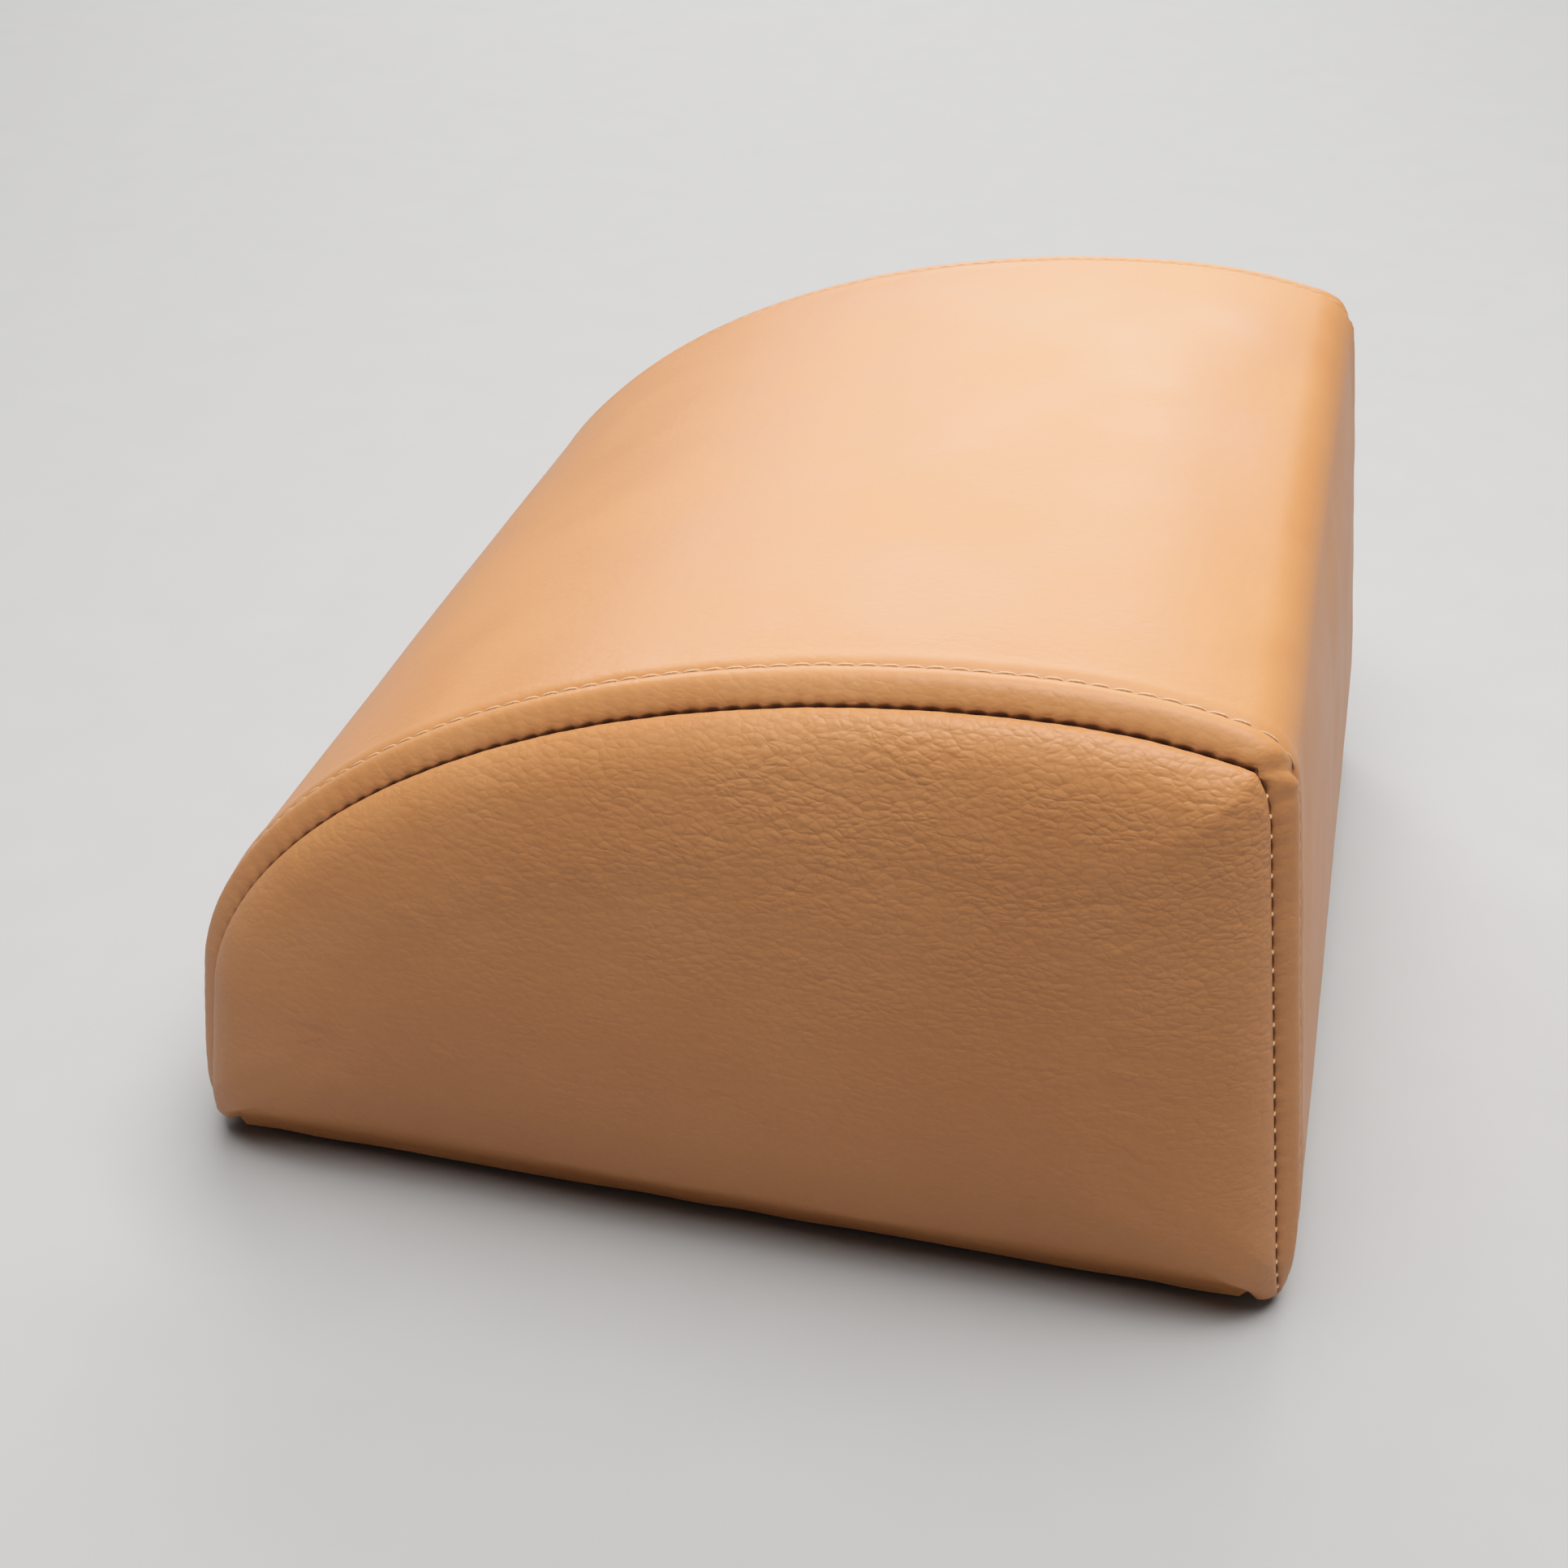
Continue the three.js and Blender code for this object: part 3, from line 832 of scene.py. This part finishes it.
fold = dict(
    start=0.8 * mm,  # the pinch across the strip starts this far past the turn of the seam
    lean=0.75,
    depth=0.95 * mm,
    width=0.9 * mm,
    reach=(5.2 * mm, 8.5 * mm),
    ridge=0.42 * mm,  # on both sides of the pinch
    second=0.4 * mm,  # a smaller pinch below
    rearShare=0.6,  # the rear end has a weaker one
)

hem = dict(
    cell=2.2 * mm,
    lift=0.25 * mm,
    wave=7 * mm,
    slowWave=19 * mm,
)

edgeMargin = 5 * mm  # without stitches at each end of a seam
stitchCount = int((seamLength - 2 * edgeMargin) / cover["stitch"])
stitchStart = (seamLength - stitchCount * cover["stitch"]) / 2
holes = stitchStart + np.arange(stitchCount + 1) * cover["stitch"]


def nearestHole(along):
    phase = (along - stitchStart) / cover["stitch"]
    return np.abs(phase - np.round(phase)) * cover["stitch"]


def stepped(along):
    # the edge's small step at each stitch
    phase = (along - stitchStart) / cover["stitch"]
    within = phase - np.floor(phase)
    return seamEdge["tooth"] * (np.clip(within * 1.35, 0, 1) - smoothStep(0.74, 1.0, within) - 0.45)


def pinchAt(along):
    # how much a seam stitch pulls there
    return seamEdge["pinch"] * np.cos(math.pi * nearestHole(along) / cover["stitch"]) ** 2


def waver(along, seed):
    # slow, uneven drift of a hand-guided seam
    total = np.zeros_like(along)
    for k, length in enumerate((61, 37, 23, 13)):
        total += math.cos(seed * 1.7 + k) * np.sin(2 * math.pi * along / (length * mm) + seed * (k + 2.1))
    return total / 4


def seamDrift(along, height, side):
    # how far the seam lies out of its plane: it wanders a little and is pulled in at the foot
    pulled = cover["footPull"] * (1 - smoothStep(0, cover["footRise"], height))
    return cover["wander"] * waver(along, 1 + side) - pulled


rollRows = [(0.1, 1.0), (0.35, 0.72), (0.7, 0.45), (0.92, 0.24), (1.0, 0.1)]  # from the seam plane, down
# and inwards over the wrap, closest at the edge and in the topstitch's channel
openRows = [0.0, 0.08, 0.2, 0.36, 0.56, 0.8, 1.1, 1.45, 1.85, 2.3, 2.8, 3.3, 3.8, 4.3, 4.75, 5.1,
            5.4, 5.65, 5.87, 6.08, 6.3, 6.52, 6.73, 6.95, 7.2, 7.5, 7.9, 8.4, 9.1, 10, 11.2, 12.7,
            14.6, 17, 20, 24, 29, 35, 42, 51, 62, 75, 90, 105]


def topstitchAt(along):
    return cover["topstitch"] + channel["wander"] * waver(along, 3)


def wrapHeight(distance, along, height):
    # how far the wrap stands out of the seam line, at a distance from the seam
    inRound = 1 - np.clip(distance / seamEdge["round"], 0, 1)
    lip = seamEdge["round"] * (1 - np.sqrt(np.clip(1 - inRound ** 2, 0, 1)))
    across = distance - topstitchAt(along)
    groove = channel["depth"] * gauss(across, channel["width"])
    pulls = channel["hole"] * gauss(np.hypot(across, nearestHole(along)), channel["holeWidth"])
    strip = channel["strip"] * gauss(distance - channel["stripAt"], channel["stripWidth"])
    beyond = channel["beyond"] * gauss(distance - channel["beyondAt"], channel["beyondWidth"])
    scallop = pinchAt(along) * gauss(distance, channel["pullReach"])
    fade = smoothStep(0, 10 * mm, height) * 0.8 + 0.2
    shape = standOff(distance) * riseAt(height) - lip * 0.75
    return shape + (strip + beyond - groove - pulls - scallop) * fade


def cornerFold(distance, along, side):
    # the pinch across the strip where the seam turns down at the tall corner
    across = along - (kinkAt + fold["start"] + fold["lean"] * distance)
    valley = -fold["depth"] * gauss(across, fold["width"])
    ridges = gauss(across - 2.6 * mm, 1.7 * mm) + 0.8 * gauss(across + 2.8 * mm, 1.9 * mm)
    second = -fold["second"] * gauss(along - kinkAt - 6.5 * mm - 0.2 * distance, 0.8 * mm)
    reach = 1 - smoothStep(*fold["reach"], distance)
    return (valley + fold["ridge"] * ridges + second) * reach * (1 if side < 0 else fold["rearShare"])


def hemPath(side):
    # from the free edge of the hem to the foot of the wall
    foot = sewn[0] if side < 0 else sewn[-1]
    inner = side * (halfWidth - form["hem"])
    count = round(abs(foot[0] - inner) / hem["cell"])
    xs = np.linspace(inner, foot[0], count + 1)[:-1]
    return np.stack([xs, np.full(len(xs), foot[1])], 1)


def edgeRows(side, along, height):
    # the wrap's rows from the seam to its middle: how far in they lie, and how far they stand out
    rows = []
    mouth = seamEdge["mouth"] - 0.6 * pinchAt(along)
    tooth = stepped(along) * 0.5
    lip = wrapHeight(np.zeros_like(along), along, height)
    for out, deep in rollRows:
        edge = lip + seamOut(along, 0 * along) + tooth * 0.7
        rows.append((mouth * out + tooth, edge - deep * seamEdge["depth"]))
    onWall = (along >= 0) & (along <= seamLength)
    for distance in openRows:
        d = np.full_like(along, distance * mm)
        toothed = tooth * np.exp(-d / seamEdge["toothReach"])
        stand = wrapHeight(d, along, height) + cornerFold(d, along, side) + seamOut(along, d)
        rows.append((mouth + d + toothed, (stand + toothed * 0.7) * np.where(height > 0, 1, onWall)))
    return rows


def buildWrap():
    noseHem = hemPath(-1)
    tallHem = hemPath(1)[::-1]
    line = np.concatenate([noseHem, sewn, tallHem])
    down = np.array([[0.0, -1.0]])
    outward = np.concatenate([
        np.repeat(down, len(noseHem), 0), sewnNormal, np.repeat(down, len(tallHem), 0)])
    noseRun = -np.cumsum(np.full(len(noseHem), hem["cell"]))[::-1]
    along = np.concatenate([noseRun, arc, arc[-1] - noseRun[::-1]])
    height = line[:, 1]
    onWall = (along >= 0) & (along <= seamLength)
    rows = []
    for side in (-1, 1):
        drift = seamDrift(along, height, side)
        for inward, stand in edgeRows(side, along, height)[::-side]:
            y = side * (seamY - inward + drift * np.exp(-inward / cover["wanderReach"]))
            rows.append((y, stand, inward))
    ys, stands, fromSeam = (np.stack(values) for values in zip(*rows))
    depths = np.array([share for _, share in rollRows] + [0.0] * len(openRows))
    # the rolled edges inside the seam get painted shade, carried as groove
    paintedSeamShade = smoothStep(0.03, 0.14, np.r_[depths, depths[::-1]])
    grain = grainOf["wrap"] + grainOf["strip"] * np.exp(-fromSeam / (9 * mm))
    softRows = softWeights(np.clip(ys.mean(1), -seamY, seamY), swell["rows"], cloth["blur"])
    softColumns = softWeights(np.clip(along, 0, seamLength), swell["arc"], cloth["blur"])
    give = softRows @ swell["wrap"] @ softColumns.T * (riseAt(height) * onWall)[None, :]
    nearSeam = 1 - np.exp(-np.clip(seamY - np.abs(ys), 0, None) / (3 * mm))
    stands = stands + give * nearSeam
    points = np.zeros((len(rows), len(along), 3))
    points[:, :, 0] = line[None, :, 0] + outward[None, :, 0] * stands
    points[:, :, 2] = line[None, :, 1] + outward[None, :, 1] * stands + under
    points[:, :, 1] = ys
    ripple = np.sin(ys / hem["wave"] + 2 * np.sin(ys / hem["slowWave"]))
    points[:, :, 2] += np.where(onWall, 0, 1)[None, :] * hem["lift"] * (1 + ripple)
    uv = np.stack(np.broadcast_arrays(along[None, :], ys), 2).reshape(-1, 2)
    groove = np.repeat(paintedSeamShade[:, None], len(along), 1)
    piece = newPiece("coverWrap", points.reshape(-1, 3), gridFaces(len(rows), len(along)), uv,
                     dict(grain=grain, groove=groove))
    faceOutwards(piece)
    smoothShade(piece)
    place(piece, "leatherette", leatherette, "cover_wrap")
    # the fibre wadding follows the wrap from inside
    chosen = [k for k in range(0, len(rows), 2) if fromSeam[k].min() > filling["setback"]]
    spots = [k for k in range(0, len(along), 3) if onWall[k]]
    core = np.zeros((len(chosen), len(spots), 3))
    lower = stands[np.ix_(chosen, spots)] - filling["below"]
    core[:, :, 0] = line[spots, 0] + outward[spots, 0] * lower
    core[:, :, 2] = np.maximum(line[spots, 1] + outward[spots, 1] * lower + under, boardBottom)
    core[:, :, 1] = ys[np.ix_(chosen, spots)]
    stuff("waddingWrap", core.reshape(-1, 3), gridFaces(len(chosen), len(spots)), "wadding_wrap")


filling = dict(setback=3.4 * mm, below=2.1 * mm, thick=2.4 * mm)


def stuff(name, points, faces, node):
    # a layer of fibre wadding: a sheet thickened inwards
    piece = newPiece(name, points, faces)
    faceOutwards(piece, dropLoose=True)
    thick = piece.modifiers.new("thick", "SOLIDIFY")
    thick.thickness = filling["thick"]
    thick.offset = -1
    bpy.ops.object.modifier_apply(modifier="thick")
    smoothShade(piece)
    place(piece, "fibre", fibre, node)


buildWrap()
report("wrap made")


# The end panels.

panelEdge = dict(
    inset=0.8 * mm,  # the panel's edge lies lower than that of the wrap
    rolls=[(3.8, 0.1, 0), (3.0, 0.35, 0), (2.2, 0.7, 0), (1.5, 0.92, 0), (1.12, 1, 0.03), (0.92, 1, 0.14),
           (0.83, 1, 0.34)],  # inset, share of the mouth, further out
    start=0.6 * mm,
    fullness=1.18,
    swell=1.1 * mm,  # of the whole panel, towards its middle
    easing=90,  # rounds that even out the mitres at the corners
    easeFrom=6 * mm,  # beyond the seam
    easeTo=11 * mm,
    giveReach=5 * mm,
    crown=(0.25, 0.42),  # middle of the swell, as shares of half the width and of the height
    crownSize=(1.05, 0.55),
)
panelHem = dict(steps=[(1.5, 0.25), (4, 0.8), (8, 1.05), (14, 1.1), (22, 1.1)],  # inwards and up
                ripple=0.18 * mm, wave=6 * mm, slowWave=17 * mm, narrower=0.985)
padTurn = 34  # the end pad starts at this ring of the dome
domeTurns = [6, 10, 14, 18, 23, 28, 34, 40, 47, 54, 61, 68, 75, 82, 90]


def panelGive(points, values):
    # the simulated give at points of the flat panel, smoothed
    given = np.zeros(len(points))
    for start in range(0, len(points), 2000):
        part = points[start:start + 2000]
        apart = np.linalg.norm(part[:, None] - swell["flat"][None], axis=2)
        weights = gauss(apart, panelEdge["giveReach"]) + 1e-9
        given[start:start + 2000] = weights @ values / weights.sum(1)
    return given


def evenOut(depths, faces):
    # softens the mitred corners of the dome, but not its edge
    pairs = {(min(a, b), max(a, b)) for f in faces for a, b in zip(f, tuple(f[1:]) + tuple(f[:1]))}
    first, second = np.array(sorted(pairs)).T
    weight = smoothStep(panelEdge["easeFrom"], panelEdge["easeTo"], depths - seamY) * 0.6
    count = len(depths)
    number = np.bincount(first, minlength=count) + np.bincount(second, minlength=count)
    for _ in range(panelEdge["easing"]):
        total = np.bincount(first, depths[second], count) + np.bincount(second, depths[first], count)
        depths = depths + weight * (total / np.maximum(number, 1) - depths)
    return depths


def panelRings(side):
    # closed rings from deep in the seam to the flat middle: their outline, depth and groove, the share of
    # painted seam shade
    base = baseLine(sewn, 2 * mm)
    below = len(base)
    onSeam = np.r_[np.ones(len(sewn)), np.zeros(below)]
    pinch = 0.6 * np.r_[pinchAt(arc), np.zeros(below)]
    push = np.r_[seamOut(arc, 0 * arc), np.zeros(below)][:, None]
    push = push * np.concatenate([sewnNormal, np.zeros((below, 2))])
    drift = np.r_[seamDrift(arc, sewn[:, 1], side), np.full(below, -cover["footPull"])]
    mouth = seamEdge["mouth"]

    def outline(inset, foot):
        line = section(inset, foot)
        xs = np.linspace(line[-1, 0], line[0, 0], below + 2)[1:-1]
        return np.concatenate([line, np.stack([xs, np.full(below, foot)], 1)])

    rings = []
    for inset, share, out in panelEdge["rolls"]:
        y = seamY + (mouth * share + out * mm) * onSeam - pinch + drift
        # the deepest rolls get painted seam shade, carried as groove
        rings.append((outline(inset * mm, inset * mm) + push, y, smoothStep(0.84, 1.2, inset) * onSeam))
    for degrees in domeTurns:
        turn = math.radians(degrees)
        inward = 1 - math.cos(turn) ** panelEdge["fullness"]
        out = cover["firm"] * cover["domeDepth"] * math.sin(turn) ** panelEdge["fullness"]
        flat = outline(panelEdge["inset"] + cover["domeWidth"] * inward, cover["domeFoot"] * degrees / 90)
        flat = flat + push * math.exp(-degrees / 25)
        y = seamY + (mouth + panelEdge["start"]) * onSeam + out
        y = y - pinch * math.exp(-degrees / 14) + drift * (1 - math.sin(turn))
        rings.append((flat, y, 0 * onSeam))
    return rings


def panelMesh(side):
    # the rings joined, and the middle filled in
    rings = panelRings(side)
    count = len(rings[0][0])
    faces = []
    for k in range(len(rings) - 1):
        for i in range(count):
            j = (i + 1) % count
            faces.append((k * count + i, k * count + j, (k + 1) * count + j, (k + 1) * count + i))
    middle, triangles, origins = fillOutline(rings[-1][0], 4 * mm, 1.6 * mm)
    index = np.zeros(len(middle), int)
    extra = []
    for k, source in enumerate(origins):
        if source and source[0] < count:
            index[k] = (len(rings) - 1) * count + source[0]
        else:
            index[k] = len(rings) * count + len(extra)
            extra.append(middle[k])
    for t in triangles:
        faces.append(tuple(index[i] for i in t[::-1]))
    flat = np.concatenate([flat for flat, _, _ in rings] + [np.array(extra)])
    depth = np.concatenate([y for _, y, _ in rings] + [np.full(len(extra), rings[-1][1].mean())])
    groove = np.concatenate([g for _, _, g in rings] + [np.zeros(len(extra))])
    return flat, depth, groove, faces, count


def turnHem(points, faces, lowIndex, side):
    # the panel's hem, turned under from its foot
    previous = lowIndex
    hemPoints = []
    for inward, lift in panelHem["steps"]:
        current = []
        for i in lowIndex:
            x = points[i, 0]
            wave = math.sin(x / panelHem["wave"] + 2 * math.sin(x / panelHem["slowWave"]))
            current.append(len(points) + len(hemPoints))
            hemPoints.append((
                x * panelHem["narrower"], side * (seamY - inward * mm),
                under + lift * mm + panelHem["ripple"] * wave))
        for a, b, c, d in zip(previous[:-1], previous[1:], current[1:], current[:-1]):
            faces.append((a, b, c, d))
        previous = current
    return np.concatenate([points, np.array(hemPoints)])


def buildPanel(name, side, values, node, padName, padNode):
    flat, depth, groove, faces, count = panelMesh(side)
    half = np.array([halfWidth, seamHeight])
    apart = (flat - half * panelEdge["crown"]) / (half * panelEdge["crownSize"])
    crown = np.clip(1 - np.linalg.norm(apart, axis=1) ** 2, 0, 1)
    free = smoothStep(seamY + 0.9 * mm, seamY + 4 * mm, depth)
    depth = evenOut(depth + panelEdge["swell"] * crown + panelGive(flat, values) * free, faces)
    points = np.stack([flat[:, 0], side * depth, flat[:, 1] + under], 1)
    firstOpen = len(panelEdge["rolls"])
    low = range(len(sewn), count)
    points = turnHem(points, faces, [firstOpen * count + i for i in low], side)
    rolled = {k * count + i for k in range(firstOpen) for i in low[1:-1]}
    faces = [f for f in faces if not any(int(i) in rolled for i in f)]
    upper = smoothStep(0.3, 0.85, points[:, 2] / seamHeight)
    upper = upper * smoothStep(-0.9, 0.3, points[:, 0] / halfWidth)
    grain = grainOf["panel"] + grainOf["panelUpper"] * upper
    # groove carries the painted shade inside the seam
    groove = np.r_[groove, np.zeros(len(points) - len(groove))]
    piece = newPiece(name, points, faces, points[:, [0, 2]], dict(grain=grain, groove=groove))
    faceOutwards(piece, dropLoose=True)
    smoothShade(piece)
    place(piece, "leatherette", leatherette, node)
    # the end pad behind it
    first = (firstOpen + domeTurns.index(padTurn)) * count
    padFaces = [f for f in faces if all(first <= i < len(flat) for i in f)]
    padPoints = points[: len(flat)].copy()
    padPoints[:, 1] -= side * filling["below"]
    stuff(padName, padPoints, padFaces, padNode)


buildPanel("frontPanel", -1, swell["front"], "front_panel", "frontEndPad", "front_end_pad")
buildPanel("rearPanel", 1, swell["rear"], "rear_panel", "rearEndPad", "rear_end_pad")
report("end panels made")


# The stitches.

stitching = dict(
    radius=0.25 * mm,
    sides=6,
    rings=7,
    gap=0.15 * mm,
    dive=0.42 * mm,  # how far the ends of a topstitch go down
    slant=0.16 * mm,
    proud=0.15 * mm,
    twist=1.6 * mm,
    seamRadius=0.3 * mm,
    seamLength=2.1 * mm,
    seamDive=0.8 * mm,
    barSunk=0.05 * mm,
    barDeeper=1.1 * mm,  # more where the seam runs level
)


def oneStitch(length, radius, drop):
    # a short piece of thread whose ends dive into their holes
    bpy.ops.object.select_all(action="DESELECT")
    bpy.ops.mesh.primitive_cylinder_add(
        vertices=stitching["sides"], radius=radius, depth=length, end_fill_type="NOTHING",
        rotation=(0, math.pi / 2, 0))
    stitch = bpy.context.object
    bpy.ops.object.transform_apply(location=True, rotation=True, scale=True)
    bpy.ops.object.mode_set(mode="EDIT")
    for k in range(1, stitching["rings"] - 1):
        at = (k / (stitching["rings"] - 1) - 0.5) * length
        bpy.ops.mesh.select_all(action="SELECT")
        bpy.ops.mesh.bisect(plane_co=(at, 0, 0), plane_no=(1, 0, 0))
    bpy.ops.object.mode_set(mode="OBJECT")
    points = readPoints(stitch.data)
    share = np.abs(points[:, 0]) / (length / 2)
    thin = 1 - 0.45 * share ** 4
    points[:, 1] *= thin
    points[:, 2] = points[:, 2] * thin - drop * share ** 3
    writePoints(stitch.data, points)
    return stitch


def sewRow(name, stitch, frames, node):
    # copies of one stitch, each set in its own frame of origin, along, across and up
    source = readPoints(stitch.data)
    polygons = [tuple(p.vertices) for p in stitch.data.polygons]
    points, faces, uv = [], [], []
    around = np.arctan2(source[:, 2], source[:, 1]) / (2 * math.pi)
    for k, (origin, along, across, up) in enumerate(frames):
        points.append(origin + source[:, :1] * along + source[:, 1:2] * across + source[:, 2:] * up)
        faces += [tuple(i + k * len(source) for i in p) for p in polygons]
        uv.append(np.stack([source[:, 0] / stitching["twist"] + k * 0.37, around], 1))
    piece = newPiece(name, np.concatenate(points), faces, np.concatenate(uv))
    smoothShade(piece)
    place(piece, "thread", thread, node)
    return piece


def seamAt(along):
    # the seam line and its outward direction
    line = np.array([np.interp(along, arc, sewn[:, k]) for k in (0, 1)])
    normal = np.array([np.interp(along, arc, sewnNormal[:, k]) for k in (0, 1)])
    return line, normal


def onWrap(at, distance, side):
    # a place on the wrap at a distance along and in from the seam
    line, normal = seamAt(at)
    u, d, height = np.array([at]), np.array([distance]), line[1:]
    rise = wrapHeight(d, u, height)[0] + cornerFold(d, u, side)[0] + seamOut(u, d)[0]
    inward = np.array([side * (seamY - distance)])
    give = softWeights(inward, swell["rows"], cloth["blur"]) @ swell["wrap"]
    give = (give @ softWeights(u, swell["arc"], cloth["blur"]).T)[0, 0]
    rise += give * riseAt(line[1]) * (1 - math.exp(-distance / (3 * mm)))
    flat = line + normal * rise
    drift = seamDrift(u, height, side)[0] * math.exp(-distance / cover["wanderReach"])
    return np.array([flat[0], side * (seamY - distance - seamEdge["mouth"] + drift), flat[1] + under])


def topstitchFrame(at, side):
    # origin, along, across and up of one topstitch
    step = 0.4 * mm
    distance = topstitchAt(np.array([at]))[0]
    along = onWrap(at + step, distance, side) - onWrap(at - step, distance, side)
    along /= np.linalg.norm(along)
    across = onWrap(at, distance + step, side) - onWrap(at, distance - step, side)
    across -= along * (along @ across)
    across /= np.linalg.norm(across)
    up = np.cross(along, across)
    _, normal = seamAt(at)
    if up[0] * normal[0] + up[2] * normal[1] < 0:
        up = -up
    across = np.cross(up, along)
    tilt = stitching["slant"] / cover["stitch"] * 2
    slanted = along * math.cos(tilt) + across * math.sin(tilt)
    origin = onWrap(at, distance, side) + up * stitching["proud"]
    return origin, slanted, np.cross(up, slanted), up


def barFrame(at, side):
    # the same for the thread that crosses the seam at a hole
    line, normal = seamAt(at)
    u = np.array([at])
    lip = wrapHeight(np.zeros(1), u, line[1:])[0] + seamOut(u, np.zeros(1))[0]
    sunk = stitching["barSunk"] + stitching["barDeeper"] * max(normal[1], 0)
    flat = line + normal * (lip - sunk)
    y = side * (seamY + seamDrift(u, line[1:], side)[0])
    out = np.array([normal[0], 0, normal[1]])
    along = np.array([0, 1.0, 0])
    return np.array([flat[0], y, flat[1] + under]), along, np.cross(out, along), out


def stitchRows():
    s = stitching
    top = oneStitch(cover["stitch"] - s["gap"], s["radius"], s["dive"])
    bar = oneStitch(s["seamLength"], s["seamRadius"], s["seamDive"])
    for word, side in (("front", -1), ("rear", 1)):
        topFrames = [topstitchFrame((a + b) / 2, side) for a, b in zip(holes[:-1], holes[1:])]
        sewRow(f"{word}Topstitch", top, topFrames, f"{word}_topstitch")
        barFrames = [barFrame(at, side) for at in holes]
        sewRow(f"{word}SeamThread", bar, barFrames, f"{word}_seam_thread")
    bpy.data.objects.remove(top)
    bpy.data.objects.remove(bar)


stitchRows()
report("stitches sewn")


# The underside.

underside = dict(
    dustCells=60,
    dustLift=0.05 * mm,
    dustThick=0.3 * mm,
    ripple=0.12 * mm,
    rippleEdge=25 * mm,
    stripRound=0.5 * mm,
)


def namedAndScaled(name, scale):
    # the primitive just added, at its size
    piece = bpy.context.object
    piece.name = name
    piece.scale = scale
    bpy.ops.object.transform_apply(location=True, rotation=True, scale=True)
    return piece


def buildDustCover():
    low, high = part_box("dust_cover")
    bpy.ops.object.select_all(action="DESELECT")
    bpy.ops.mesh.primitive_grid_add(
        x_subdivisions=underside["dustCells"], y_subdivisions=underside["dustCells"], size=1,
        location=((low.x + high.x) / 2, (low.y + high.y) / 2, low.z + underside["dustLift"]))
    piece = namedAndScaled("dustCover", (high.x - low.x, high.y - low.y, 1))
    points = readPoints(piece.data)
    x, y = points[:, 0], points[:, 1]
    edge = np.minimum(high.x - np.abs(x), high.y - np.abs(y))
    ripple = np.sin(x / (9 * mm) + 2 * np.sin(y / (31 * mm))) * np.sin(y / (13 * mm) + 1.3)
    points[:, 2] += underside["ripple"] * ripple * smoothStep(0, underside["rippleEdge"], edge)
    writePoints(piece.data, points)
    thick = piece.modifiers.new("thick", "SOLIDIFY")
    thick.thickness = underside["dustThick"]
    thick.offset = 1
    onlyThis(piece)
    bpy.ops.object.modifier_apply(modifier="thick")
    smoothShade(piece, 40)
    place(piece, "cambric", cambric, "dust_cover")


def buildStrip(name, node):
    low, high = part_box(node)
    bpy.ops.object.select_all(action="DESELECT")
    bpy.ops.mesh.primitive_cube_add(size=1, location=(low + high) / 2)
    piece = namedAndScaled(name, high - low)
    bpy.ops.object.mode_set(mode="EDIT")
    bpy.ops.mesh.select_all(action="SELECT")
    bpy.ops.mesh.bevel(offset=underside["stripRound"], segments=3, affect="EDGES")
    bpy.ops.object.mode_set(mode="OBJECT")
    smoothShade(piece, 35)
    place(piece, "loop_pile", loopPile, node)


buildDustCover()
buildStrip("loopStripNoseSide", "loop_strip_nose_side")
buildStrip("loopStripTallSide", "loop_strip_tall_side")
report("underside made")


# The CAD nodes that stay.

innerFinishes = dict(base_board=plywood, foam_core=firmFoam, comfort_foam=softFoam)
for name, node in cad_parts.items():
    if "staple" in name:
        paint(node, stapleWire)
    elif name in innerFinishes:
        paint(node, innerFinishes[name])
report("inner pieces dressed")

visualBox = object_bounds()
boxes = {"cad": [list(c) for c in cadBox], "visual": [list(c) for c in visualBox]}
for word, box in boxes.items():
    report(f"{word} box {[[round(v / mm, 1) for v in corner] for corner in box]} mm")
